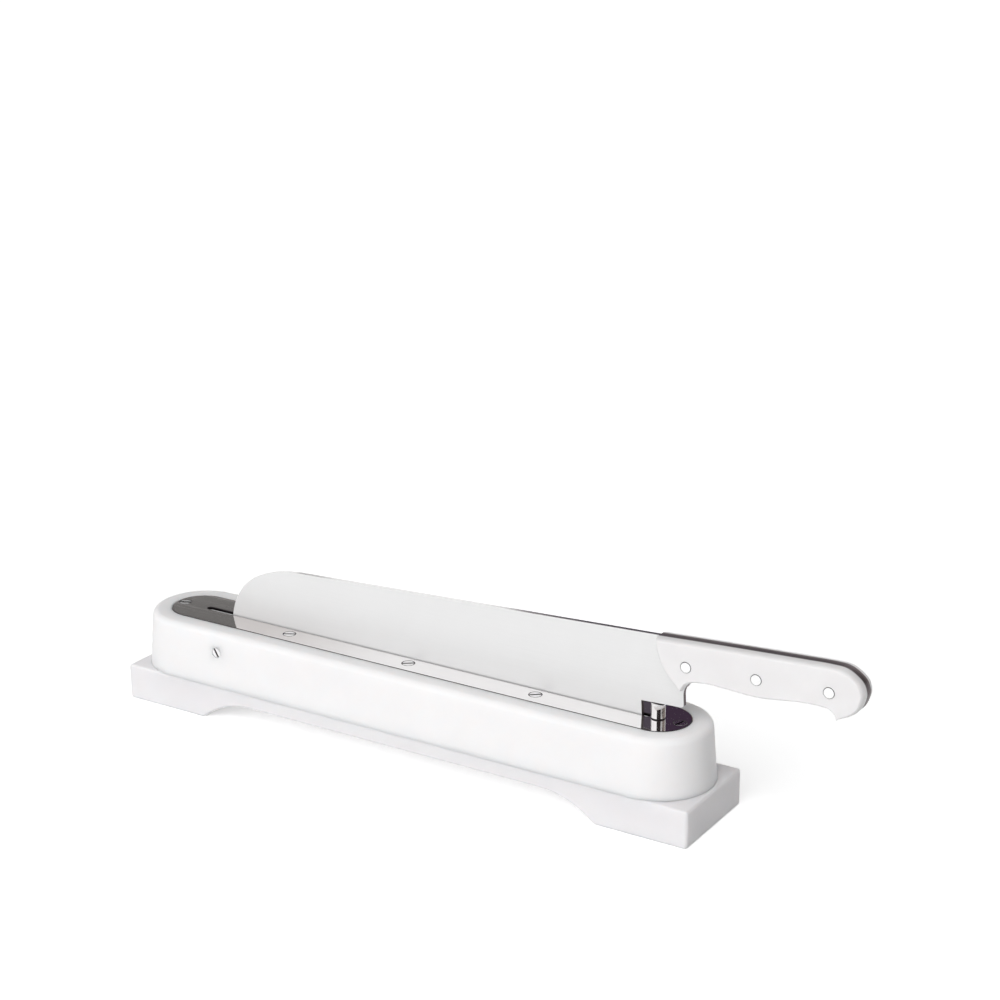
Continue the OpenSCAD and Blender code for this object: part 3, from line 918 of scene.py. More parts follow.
@dataclass(frozen=True)
class Fastener:
    """A screw or rivet half with a round head, grown at its places by a node tree."""

    head_r: float
    head_h: float
    neck_r: float
    shank_r: float
    length: float
    rim: float = 0.12 * MM
    tip: float = 0.4 * MM
    slot_w: float = 0.0
    slot_depth: float = 0.0
    bore_r: float = 0.0
    bore_depth: float = 0.0

    def tree(self, name: str) -> FormTree:
        """Builds the tree that turns one fastener and sets a copy on each seed.

        Args:
            name: The tree's name.

        Returns:
            The tree.
        """
        sizes = {
            "Head Radius": self.head_r, "Head Height": self.head_h, "Neck Radius": self.neck_r,
            "Shank Radius": self.shank_r, "Length": self.length, "Rim": self.rim, "Tip": self.tip,
            "Slot Width": self.slot_w, "Slot Depth": self.slot_depth,
            "Bore Radius": self.bore_r, "Bore Depth": self.bore_depth}
        form = FormTree(name, sizes)
        given = form.given
        face_r = form.math("SUBTRACT", given["Head Radius"], given["Rim"])
        side_h = form.math("SUBTRACT", given["Head Height"], given["Rim"])
        tip_r = form.math("SUBTRACT", given["Shank Radius"], given["Tip"])
        shank_l = form.math("SUBTRACT", given["Length"], form.math("ADD", given["Head Height"], given["Tip"]))
        body = form.lathe([
            (0.0, face_r, 0.0),
            (face_r, given["Head Radius"], given["Rim"]),
            (given["Head Radius"], given["Neck Radius"], side_h),
            (given["Neck Radius"], given["Shank Radius"], 0.0),
            (given["Shank Radius"], given["Shank Radius"], shank_l),
            (given["Shank Radius"], tip_r, given["Tip"]),
            (tip_r, 0.0, 0.0)])
        tools = []
        if self.slot_w:
            size = form.add("ShaderNodeCombineXYZ", {
                0: form.math("MULTIPLY", given["Head Radius"], 3.0), 1: given["Slot Width"],
                2: form.math("MULTIPLY", given["Slot Depth"], 2.0)})
            tools.append(form.add("GeometryNodeMeshCube", {"Size": size}))
        if self.bore_r:
            bore = form.add("GeometryNodeMeshCylinder", {
                "Vertices": HOLE_SIDES, "Radius": given["Bore Radius"],
                "Depth": form.math("MULTIPLY", given["Bore Depth"], 2.0)})
            tools.append(form.lifted(bore, form.math("MULTIPLY", given["Length"], -1.0)))
        if tools:
            body = form.without(body, *tools)
        kept = form.add("GeometryNodeStoreNamedAttribute", {
            "Geometry": body, "Name": TurnedMetal.ATTRIBUTE, "Value": form.add("GeometryNodeInputPosition")},
            data_type="FLOAT_VECTOR", domain="POINT")
        way = form.add("GeometryNodeInputNamedAttribute", {"Name": "way"}, data_type="FLOAT_VECTOR")
        spots = form.add("GeometryNodeMeshToPoints", {"Mesh": given["Seeds"]})
        copies = form.add("GeometryNodeInstanceOnPoints", {
            "Points": spots, "Instance": kept,
            "Rotation": form.add("FunctionNodeEulerToRotation", {0: way})})
        form.close(copies)
        return form

    def grow(self, name: str, seeds: Sequence[Seed], finish: Finish) -> bpy.types.Object:
        """Makes all copies of the fastener as one piece.

        Args:
            name: The piece's name.
            seeds: Where the copies go.
            finish: Their finish.

        Returns:
            The piece.
        """
        piece = new_object(name, [seed.place for seed in seeds])
        way = piece.data.attributes.new("way", "FLOAT_VECTOR", "POINT")
        for value, seed in zip(way.data, seeds):
            # The turn comes before the tilt, as a turn about the fastener's own axis
            turned_way = Matrix.Rotation(seed.axis.value, 3, "X") @ Matrix.Rotation(seed.turn, 3, "Z")
            value.vector = turned_way.to_euler()
        return shade(self.tree(name).grow(piece, finish.material()))


# The base


@dataclass
class Board:
    """The bottom board with an arch cut under it, and the screws that hold the block from below."""

    places: Places
    foot_l: float = 62.5 * MM
    arch_rise: float = 14.3 * MM
    arch_end_r: float = 60 * MM
    edge_r: float = 1.8 * MM
    edge_steps: int = 4
    screw_recess: float = 5 * MM
    screw_inset: float = 32 * MM
    screw_row: float = 18 * MM
    # How far each screw's slot is turned past the last one's, in radians
    screw_turn: float = 0.7
    head_gap: float = 0.2 * MM
    hole_gap: float = 0.1 * MM
    screw: Fastener = Fastener(
        head_r=4.2 * MM, head_h=3 * MM, neck_r=4.2 * MM, shank_r=2.2 * MM, length=33 * MM,
        rim=0.35 * MM, tip=1.2 * MM, slot_w=1.4 * MM, slot_depth=0.9 * MM)

    def outline(self) -> list[Point]:
        """The board's side view, with the arch cut out of its lower side.

        Returns:
            Its points in order.
        """
        lo, hi, middle = self.places.board.lo, self.places.board.hi, self.places.board.mid
        half = self.places.board.size.x / 2 - self.foot_l
        flat_half = half - math.sqrt(self.arch_end_r ** 2 - (self.arch_end_r - self.arch_rise) ** 2)
        centre_z = self.arch_rise - self.arch_end_r
        foot = math.degrees(math.asin(-centre_z / self.arch_end_r))
        right = arc((middle.x + flat_half, centre_z), self.arch_end_r, foot, 90, FINE_STEP)
        left = arc((middle.x - flat_half, centre_z), self.arch_end_r, 90, 180 - foot, FINE_STEP)
        return [(hi.x, 0.0), (hi.x, hi.z), (lo.x, hi.z), (lo.x, 0.0)] + left[::-1] + right[::-1]

    def screw_places(self) -> list[Vector]:
        """Where the six screws' heads are seated.

        Returns:
            The near row, then the far row.
        """
        lo, hi, middle = self.places.board.lo.x, self.places.board.hi.x, self.places.board.mid.x
        columns = ((lo + self.screw_inset, 0.0), (middle, self.arch_rise), (hi - self.screw_inset, 0.0))
        return [Vector((x, side * self.screw_row, lift + self.screw_recess))
                for side in (-1, 1) for x, lift in columns]

    def holes(self) -> list[bpy.types.Object]:
        """The tools that cut the screws' recesses and holes.

        Returns:
            One body for each screw.
        """
        head_r, shank_r = self.screw.head_r + self.head_gap, self.screw.shank_r + self.hole_gap
        length = self.screw.length - self.screw.head_h + PAST
        return [turned("hole", [(head_r, -spot.z - PAST), (head_r, 0), (shank_r, 0), (shank_r, length)], spot)
                for spot in self.screw_places()]

    def build(self) -> None:
        """Builds the board and its screws."""
        lo, hi = self.places.board.lo.y, self.places.board.hi.y
        board = cut(side_prism("white_board", self.outline(), lo, hi), *self.holes())
        board = BOARD_PLASTIC.dress(shade(ease(board, self.edge_r, self.edge_steps)))
        hand_over(board, Body.BASE, ["base_board"])
        seeds = [Seed(spot - Vector((0, 0, self.screw.head_h)), Axis.DOWN, self.screw_turn * i)
                 for i, spot in enumerate(self.screw_places())]
        screws = self.screw.grow("board_screws", seeds, SCREW_STEEL)
        hand_over(screws, Body.BASE, [
            f"board_screw_{place}" for place in SCREW_GRID])


@dataclass
class Block:
    """The tapered block, swept round its path by a node tree, with everything that is let into it."""

    places: Places
    board: Board
    plate: "Plate"
    pivot: "Pivot"
    edge_r: float = 4.5 * MM
    rim_w: float = 12.5 * MM
    recess_gap: float = 0.3 * MM
    recess_edge_r: float = 0.25 * MM
    foot_edge_r: float = 0.35 * MM
    edge_steps: int = 10

    def tree(self) -> FormTree:
        """Builds the tree that sweeps the block's section round its foot outline and closes it.

        Returns:
            The tree.
        """
        box = self.places.block
        top_r = self.places.plate_r + self.rim_w
        form = FormTree("swept_block", {
            "Height": box.size.z, "Draft": box.size.y / 2 - top_r, "Rim": self.rim_w - self.recess_gap,
            "Recess": self.places.plate.size.z, "Edge Radius": self.edge_r,
            "Recess Edge Radius": self.recess_edge_r, "Foot Edge Radius": self.foot_edge_r,
            "Lift": box.lo.z})
        given = form.given
        inner = form.math("ADD", given["Draft"], given["Rim"])
        floor_z = form.math("SUBTRACT", given["Height"], given["Recess"])
        # The foot runs inwards far enough for its edge to be rounded
        foot_inner = form.math("MULTIPLY", given["Foot Edge Radius"], 3.0)
        # A section's own upward side hangs down from its path, so its heights are negative
        top_y = form.math("MULTIPLY", given["Height"], -1.0)
        floor_y = form.math("MULTIPLY", floor_z, -1.0)
        corners = [(foot_inner, 0.0), (0.0, 0.0), (given["Draft"], top_y), (inner, top_y), (inner, floor_y)]
        index = form.add("GeometryNodeInputIndex")
        spot = form.add("GeometryNodeIndexSwitch", {"Index": index}, data_type="VECTOR")
        radius = form.add("GeometryNodeIndexSwitch", {"Index": index}, data_type="FLOAT")
        radii = [0.0, given["Foot Edge Radius"], given["Edge Radius"], given["Recess Edge Radius"], 0.0]
        for switch, values in ((spot, corners), (radius, radii)):
            while len(switch.index_switch_items) < len(values):
                switch.index_switch_items.new()
            for i, value in enumerate(values):
                if isinstance(value, tuple):
                    value = form.add("ShaderNodeCombineXYZ", {0: value[0], 1: value[1]})
                form.feed(switch.inputs[i + 1], value)
        line = form.add("GeometryNodeResampleCurve", {
            "Curve": form.add("GeometryNodeCurvePrimitiveLine"), "Count": len(corners)})
        bent = form.add("GeometryNodeSetPosition", {"Geometry": line, "Position": spot})
        section = form.add("GeometryNodeFilletCurve", {
            "Curve": bent, "Count": self.edge_steps, "Radius": radius}, mode="POLY")
        path = form.add("GeometryNodeSetCurveNormal", {
            "Curve": form.add("GeometryNodeMeshToCurve", {"Mesh": given["Seeds"]})}, mode="Z_UP")
        skin = form.add("GeometryNodeCurveToMesh", {"Curve": path, "Profile Curve": section})
        # An edge with fewer than two faces is open
        border = form.add("FunctionNodeCompare", {
            0: form.add("GeometryNodeInputMeshEdgeNeighbors"), 1: 1.5},
            data_type="FLOAT", operation="LESS_THAN")
        height = form.add("ShaderNodeSeparateXYZ", {0: form.add("GeometryNodeInputPosition")}).outputs[2]
        middle = form.math("MULTIPLY", given["Height"], 0.5)
        faces = [skin]
        for side, level in (("LESS_THAN", 0.0), ("GREATER_THAN", floor_z)):
            there = form.add("FunctionNodeCompare", {0: height, 1: middle}, data_type="FLOAT", operation=side)
            both = form.add("FunctionNodeBooleanMath", {0: border, 1: there}, operation="AND")
            rim = form.add("GeometryNodeMeshToCurve", {"Mesh": skin, "Selection": both})
            faces.append(form.lifted(form.add("GeometryNodeFillCurve", {"Curve": rim}, mode="NGONS"), level))
        whole = form.add("GeometryNodeMergeByDistance", {
            "Geometry": form.joined(*faces), "Distance": 10 * SAME_POINT})
        form.close(form.lifted(whole, given["Lift"]))
        return form

    def build(self) -> None:
        """Builds the block and cuts the pocket and the holes into it."""
        foot = [Vector((x, y, 0)) for x, y in stadium(*self.places.caps, self.places.block.size.y / 2)]
        count = len(foot)
        path = new_object("white_block", foot, edges=[((i - 1) % count, i) for i in range(count)])
        block = self.tree().grow(path, BLOCK_PLASTIC.material())
        with edited(block) as form:
            bmesh.ops.recalc_face_normals(form, faces=form.faces)
        cut(block, self.plate.pocket(), *self.plate.block_holes(), *self.board.holes(), *self.pivot.bores())
        hand_over(shade(block), Body.BASE, ["block"])


@dataclass
class Plate:
    """The polished plate with its slot, the screws that hold it and the stop post."""

    places: Places
    edge_r: float = 0.5 * MM
    # A face that is less level than this belongs to an edge, and is painted near black as shade
    edge_slope: float = 0.995
    slot_w: float = 4 * MM
    slot_behind_pivot: float = 32.6 * MM
    slot_to_post: float = 1 * MM
    pocket_extra_w: float = 0.4 * MM
    pocket_depth: float = 28 * MM
    hole_gap: float = 0.1 * MM
    screw_pitch: float = 93 * MM
    screw_row: float = 9.1 * MM
    screw_inset: float = 5.8 * MM
    # How far each screw's slot is turned, in degrees
    screw_turns: tuple[float, ...] = (20, 75, 28, 35, 40, 62, 15, 80)
    post_chamfer: float = 0.5 * MM
    post_foot_groove: float = 0.35 * MM
    # The top of the post: degrees between its chamfer's points, the width of its rim in chamfers,
    # and its flat middle's share of the radius and depth
    post_step: float = 15.0
    post_rim: float = 2.4
    post_flat: float = 0.35
    post_dish: float = 0.04 * MM
    post_stud_r: float = 2.5 * MM
    post_stud_l: float = 22 * MM
    screw: Fastener = Fastener(
        head_r=3.8 * MM, head_h=1.9 * MM, neck_r=1.9 * MM, shank_r=1.9 * MM, length=14 * MM,
        rim=0.05 * MM, tip=0.6 * MM, slot_w=1.4 * MM, slot_depth=0.9 * MM)

    @property
    def slot_ends(self) -> Point:
        """Where the slot starts and ends along X."""
        return (self.places.pivot.x - self.slot_behind_pivot,
                self.places.post.lo.x - self.slot_to_post)

    def screw_places(self) -> list[Vector]:
        """Where the eight screws go: the two ends first, then the near and the far row.

        Returns:
            The middles of their heads, on the plate's top.
        """
        box = self.places.plate
        ends = [(box.lo.x + self.screw_inset, 0.0), (box.hi.x - self.screw_inset, 0.0)]
        rows = [(box.mid.x + step * self.screw_pitch, side * self.screw_row)
                for side in (-1, 1) for step in (-1, 0, 1)]
        return [Vector((x, y, self.places.top_z)) for x, y in ends + rows]

    def pocket(self) -> bpy.types.Object:
        """The tool that cuts the blade's pocket into the block.

        Returns:
            The body.
        """
        x0, x1 = self.slot_ends
        gap, half = self.pocket_extra_w / 2, (self.slot_w + self.pocket_extra_w) / 2
        outline = [(x0 - gap, -half), (x1 + gap, -half), (x1 + gap, half), (x0 - gap, half)]
        return prism("pocket", outline, self.places.pivot.z - self.pocket_floor, self.places.top_z)

    @property
    def pocket_floor(self) -> float:
        """How far the pocket's floor lies below the pivot."""
        return self.pocket_depth - (self.places.top_z - self.places.pivot.z)

    @property
    def post_foot(self) -> Vector:
        """The middle of the post's foot, on the plate's top."""
        return Vector((*self.places.post.mid.xy, self.places.top_z))

    def stud_hole(self, depth: float, sides: int = ROUND_SIDES) -> bpy.types.Object:
        """The tool that cuts the stud's hole to that depth, and past it."""
        r = self.post_stud_r + self.hole_gap
        return turned("hole", [(r, -depth - PAST), (r, PAST)], self.post_foot, sides=sides)

    def block_holes(self) -> list[bpy.types.Object]:
        """The tools that cut the holes for the plate's screws and the post's stud into the block.

        Returns:
            The bodies.
        """
        r, deep = self.screw.shank_r + self.hole_gap, self.screw.length + PAST
        tools = [turned("hole", [(r, -deep), (r, PAST)], spot, sides=HOLE_SIDES)
                 for spot in self.screw_places()]
        return tools + [self.stud_hole(self.post_stud_l, HOLE_SIDES)]

    def plate_holes(self) -> list[bpy.types.Object]:
        """The tools that cut the slot, the countersinks and the stud's hole into the plate.

        Returns:
            The bodies.
        """
        x0, x1 = self.slot_ends
        r = self.slot_w / 2
        z0, z1 = self.places.plate.lo.z - PAST, self.places.top_z + PAST
        tools = [prism("slot", stadium(x0 + r, x1 - r, r), z0, z1)]
        shank_r, head_r = self.screw.shank_r + self.hole_gap, self.screw.head_r + self.hole_gap
        past_r = head_r + PAST
        for spot in self.screw_places():
            tools.append(turned("hole", [
                (shank_r, -self.places.plate.size.z - PAST), (shank_r, -self.screw.head_h),
                (head_r, 0), (past_r, PAST)], spot))
        return tools + [self.stud_hole(self.places.plate.size.z)]

    def build_post(self) -> bpy.types.Object:
        """Turns the stop post with its stud.

        Returns:
            The post.
        """
        box = self.places.post
        r, h = box.size.x / 2, box.hi.z - self.places.top_z
        c, g = self.post_chamfer, self.post_foot_groove
        top = arc((r - c, h - c), c, 0, 90, self.post_step)
        profile = [(self.post_stud_r, -self.post_stud_l), (self.post_stud_r, 0.0), (r - g, 0.0), (r - g, g),
                   (r, 2 * g)] + top + [(r - self.post_rim * c, h), (self.post_flat * r, h - self.post_dish)]
        return shade(turned("steel_post", profile, self.post_foot))

    def build(self) -> None:
        """Builds the plate, its screws and the post."""
        outline = stadium(*self.places.caps, self.places.plate_r)
        plate = prism("mirror_plate", outline, self.places.plate.lo.z, self.places.top_z)
        shade(ease(cut(plate, *self.plate_holes()), self.edge_r))
        dress_faces(plate, (PLATE_STEEL, PLATE_EDGE_SHADE), lambda face: (
            PLATE_EDGE_SHADE if abs(face.normal.z) < self.edge_slope else PLATE_STEEL))
        hand_over(plate, Body.BASE, ["top_plate"])
        seeds = [Seed(spot, Axis.UP, math.radians(turn))
                 for spot, turn in zip(self.screw_places(), self.screw_turns)]
        screws = self.screw.grow("plate_screws", seeds, SCREW_STEEL)
        hand_over(screws, Body.BASE, ["plate_screw_pivot_end", "plate_screw_handle_end"] + [
            f"plate_screw_{place}" for place in SCREW_GRID])
        # The post's foot groove is painted near black as the shadow round its base
        shadow_ring_z = self.places.top_z + 2 * self.post_foot_groove
        post = dress_faces(self.build_post(), (POST_STEEL, PLATE_EDGE_SHADE), lambda face: (
            PLATE_EDGE_SHADE if face.center.z < shadow_ring_z else POST_STEEL))
        hand_over(post, Body.BASE, ["stop_post"])


@dataclass
class Pivot:
    """The barrel that the blade turns on and the screw in its other end, both with slotted heads."""

    places: Places
    head_gap: float = 0.08 * MM
    hole_gap: float = 0.1 * MM
    face_lift: float = 0.2 * MM
    barrel_turn: float = 10.0
    screw_turn: float = 120.0
    barrel: Fastener = Fastener(
        head_r=4.5 * MM, head_h=2.4 * MM, neck_r=4.5 * MM, shank_r=4 * MM, length=50.9 * MM,
        rim=0.2 * MM, slot_w=1.4 * MM, slot_depth=0.9 * MM, bore_r=2.6 * MM, bore_depth=22 * MM)
    screw: Fastener = Fastener(
        head_r=3.2 * MM, head_h=2.4 * MM, neck_r=3.2 * MM, shank_r=2.5 * MM, length=30.4 * MM,
        rim=0.06 * MM, slot_w=1.4 * MM, slot_depth=0.9 * MM)

    @property
    def face_y(self) -> float:
        """How far the heads' faces lie from the middle plane."""
        return Box.of("pivot_barrel").hi.y + self.face_lift

    def heads(self) -> tuple[Vector, Vector]:
        """The middles of the near head's face and of the far head's face."""
        x, z = self.places.pivot.x, self.places.pivot.z
        return Vector((x, -self.face_y, z)), Vector((x, self.face_y, z))

    def bores(self) -> list[bpy.types.Object]:
        """The tools that cut the recesses of both heads and the bore between them.

        Returns:
            The bodies, from the far side and from the near side.
        """
        near, far = self.heads()
        head_r, bore_r = self.barrel.head_r + self.head_gap, self.barrel.shank_r + self.hole_gap
        near_r, seat = self.screw.head_r + self.head_gap, -self.barrel.head_h
        return [
            turned("bore", [
                (bore_r, -2 * self.face_y - seat), (bore_r, seat), (head_r, seat), (head_r, 3 * PAST)],
                far, Axis.FAR),
            turned("bore", [(near_r, seat), (near_r, 3 * PAST)], near, Axis.NEAR)]

    def build(self) -> None:
        """Builds the barrel and the screw."""
        near, far = self.heads()
        for name, part, seed in (
                ("pivot_barrel", self.barrel, Seed(far, Axis.FAR, math.radians(self.barrel_turn))),
                ("pivot_screw", self.screw, Seed(near, Axis.NEAR, math.radians(self.screw_turn)))):
            hand_over(part.grow(f"{name}_turned", [seed], PIVOT_STEEL), Body.BASE, [name])


# The knife


@dataclass
class Knife:
    """The blade with its full tang. Its sizes are u along the spine and v above the pivot."""

    places: Places
    plate: Plate
    tip_r: float = 11 * MM
    spine_h: float = 51.5 * MM
    nose_l: float = 60 * MM
    nose_front: float = 32.7 * MM
    nose_top: float = 41.4 * MM
    edge_l: float = 297.4 * MM
    edge_drop: float = 6.7 * MM
    bevel_h: float = 6 * MM
    edge_t: float = 0.3 * MM
    heel_l: float = 28.3 * MM
    heel_h: float = 8.25 * MM
    heel_corner_r: float = 2 * MM
    finger_r: float = 11.5 * MM
    hollow_drop: float = 24.2 * MM
    hollow_end: float = 5.0
    grip_l: float = 115.3 * MM
    scale_from_step: float = 13.2 * MM
    grip_drop: float = 23.7 * MM
    belly_drop: float = 26.4 * MM
    beak_drop: float = 31 * MM
    beak_back: float = 16.4 * MM
    butt_rise: float = 0.6 * MM
    seat_gap: float = 0.2 * MM
    barrel_bore_r: float = 4.05 * MM
    edge_ease: float = 0.16 * MM
    # A face turned less to the side than the first belongs to an edge, and one turned less than the
    # second to the ground bevel, if it lies low enough
    edge_slope: float = 0.8
    flat_slope: float = 0.999
    bevel_margin: float = 0.5 * MM
    # Degrees between the points of the heel's corner, and points of each free curve and of the nose
    heel_step: float = 10.0
    curve_steps: int = 10
    nose_steps: int = 60

    @property
    def heel_u(self) -> float:
        """Where the heel ends and the handle's hollow begins."""
        return self.edge_l + self.heel_l

    @property
    def butt_u(self) -> float:
        """The rear end of the handle."""
        return self.heel_u + self.grip_l

    @property
    def scale_u(self) -> float:
        """Where the scales begin at the spine."""
        return self.edge_l + self.scale_from_step

    @property
    def hollow_middle(self) -> Point:
        """The middle of the round hollow behind the heel."""
        return self.heel_u + self.finger_r, self.spine_h - self.hollow_drop - self.finger_r

    @property
    def thickness(self) -> float:
        """Thickness of the blade."""
        return Box.of("blade").size.y

    @property
    def closed_angle(self) -> float:
        """How far the shut knife is tipped, with its heel on the near edge of the post.

        Returns:
            The angle in radians.
        """
        post, pivot = self.places.post, self.places.pivot
        x = post.lo.x + self.plate.post_chamfer - pivot.x
        z = post.hi.z - pivot.z + self.seat_gap
        return math.acos(self.heel_h / math.hypot(x, z)) - math.atan2(x, z)

    def at(self, u: float, y: float, v: float) -> Vector:
        """Moves a point of the level knife to its place on the shut cutter."""
        c, s = math.cos(self.closed_angle), math.sin(self.closed_angle)
        return self.places.pivot + Vector((u * c - v * s, y, u * s + v * c))

    def back(self, point: Vector) -> Point:
        """Moves a point of the shut cutter back to the level knife's side view.

        Args:
            point: The point.

        Returns:
            Its distances from the pivot along the knife and up.
        """
        c, s = math.cos(self.closed_angle), math.sin(self.closed_angle)
        p = point - self.places.pivot
        return p.x * c + p.z * s, p.z * c - p.x * s

    def from_butt(self, points: Sequence[Point]) -> list[Point]:
        """Turns distances from the butt and from the spine's line into places."""
        return [(self.butt_u + x, self.spine_h + z) for x, z in points]

    def grip_curve(self) -> list[Point]:
        """The lower side of the handle, from the hollow behind the heel to the tip of the beak.

        Returns:
            Its points in order.
        """
        back = self.butt_u - self.heel_u - self.finger_r
        beak = (-self.beak_back, -self.beak_drop)
        return spline(self.from_butt([
            (-back - 10 * MM, -self.hollow_drop - 0.6 * MM),
            (-back, -self.hollow_drop),
            (-97 * MM, -self.grip_drop),
            (-85 * MM, -self.grip_drop - 1 * MM),
            (-64 * MM, -self.belly_drop),
            (-39 * MM, -self.grip_drop - 0.9 * MM),
            (beak[0] - 7.5 * MM, beak[1] + 5.9 * MM),
            (beak[0] - 2.5 * MM, beak[1] + 3.6 * MM),
            beak,
            (beak[0] + 2.5 * MM, beak[1] - 5 * MM)]), self.curve_steps)

    def butt_curve(self) -> list[Point]:
        """The butt and the handle's top, from the tip of the beak to the front of the scales.

        Returns:
            Its points in order.
        """
        beak = (-self.beak_back, -self.beak_drop)
        front = self.scale_u - self.butt_u
        return spline(self.from_butt([
            (beak[0] - 4 * MM, beak[1] - 3 * MM),
            beak,
            (-9 * MM, beak[1] + 3 * MM),
            (-3.4 * MM, beak[1] + 7.5 * MM),
            (-0.3 * MM, beak[1] + 14.5 * MM),
            (-0.3 * MM, -11.6 * MM),
            (-2.9 * MM, -6.4 * MM),
            (-10.6 * MM, -0.9 * MM),
            (-20 * MM, self.butt_rise - 0.1 * MM),
            (-40 * MM, self.butt_rise),
            (-90 * MM, self.butt_rise - 0.2 * MM),
            (front, 0.0),
            (front - 30 * MM, 0.0)]), self.curve_steps)

    def outline(self) -> list[Point]:
        """The knife's side view, from the corner at the pivot round the handle to the nose.

        Returns:
            Its points in order.
        """
        front = self.nose_l - self.tip_r
        corner = (self.heel_u - self.heel_corner_r, self.heel_h + self.heel_corner_r)
        turn = math.degrees(self.edge_angle)
        return (
            arc((0, 0), self.tip_r, 180, 270 + turn)
            + [(self.edge_l, -self.edge_drop), (self.edge_l, self.heel_h)]
            + arc(corner, self.heel_corner_r, -90, 0, self.heel_step)
            + arc(self.hollow_middle, self.finger_r, 180, 90 + self.hollow_end)
            + self.grip_curve() + self.butt_curve()
            + [(self.scale_u, self.spine_h), (front, self.spine_h)]
            + bezier((front, self.spine_h), (front - self.nose_top, self.spine_h),
                     (-self.tip_r, self.nose_front), (-self.tip_r, 0.0), self.nose_steps))

    @property
    def edge_angle(self) -> float:
        """How far the cutting edge falls away from the level knife's spine."""
        return math.asin((self.tip_r - self.edge_drop) / math.hypot(self.edge_l, self.edge_drop))

    def bevel_tools(self) -> list[bpy.types.Object]:
        """The two wedges that grind the blade down to its cutting edge.

        Returns:
            The near one and the far one.
        """
        half, thin = self.thickness / 2, self.edge_t / 2
        section = [(thin, -PAST), (thin, 0.0), (half, self.bevel_h), (2 * half, self.bevel_h),
                   (2 * half, -PAST)]
        c, s = math.cos(self.edge_angle), math.sin(self.edge_angle)
        tools = []
        for side in (-1, 1):
            rings = []
            for along in (-self.tip_r - PAST, self.edge_l + PAST):
                low = [(y, v - self.tip_r) for y, v in section]
                rings.append([self.at(along * c + v * s, side * y, v * c - along * s) for y, v in low])
            tools.append(loft("wedge", rings))
        return tools

    def above_bevel(self, middle: Vector) -> bool:
        """Whether a point lies above the ground bevel, measured from the cutting edge's line.

        Args:
            middle: The point.

        Returns:
            Whether it does.
        """
        u, v = self.back(middle)
        c, s = math.cos(self.edge_angle), math.sin(self.edge_angle)
        return u * s + v * c + self.tip_r > self.bevel_h + self.bevel_margin

    def finish_of(self, face: bpy.types.MeshPolygon) -> Finish:
        """The finish of one of the blade's faces: flat, ground bevel, edge of the blade, or edge of the heel
        and tang painted dark as shade.

        Args:
            face: The face.

        Returns:
            Its finish.
        """
        sideways = abs(face.normal.y)
        if sideways < self.edge_slope:
            return TANG_EDGE_SHADE if self.back(face.center)[0] > self.edge_l - PAST else SPINE_STEEL
        low = sideways < self.flat_slope and not self.above_bevel(face.center)
        return BEVEL_STEEL if low else BLADE_STEEL

    def build(self) -> None:
        """Builds the blade, grinds its edge and dresses flats, bevel and edges apart."""
        half = self.thickness / 2
        rings = [[self.at(u, y, v) for u, v in self.outline()] for y in (-half, half)]
        blade = loft("knife_blade", rings)
        bore = [(self.barrel_bore_r, -half - PAST), (self.barrel_bore_r, half + PAST)]
        cut(blade, *self.bevel_tools(), turned("bore", bore, self.places.pivot, Axis.FAR))
        shade(ease(blade, self.edge_ease, where=self.above_bevel))
        dress_faces(blade, (BLADE_STEEL, SPINE_STEEL, TANG_EDGE_SHADE, BEVEL_STEEL), self.finish_of)
        hand_over(blade, Body.KNIFE, ["blade"])


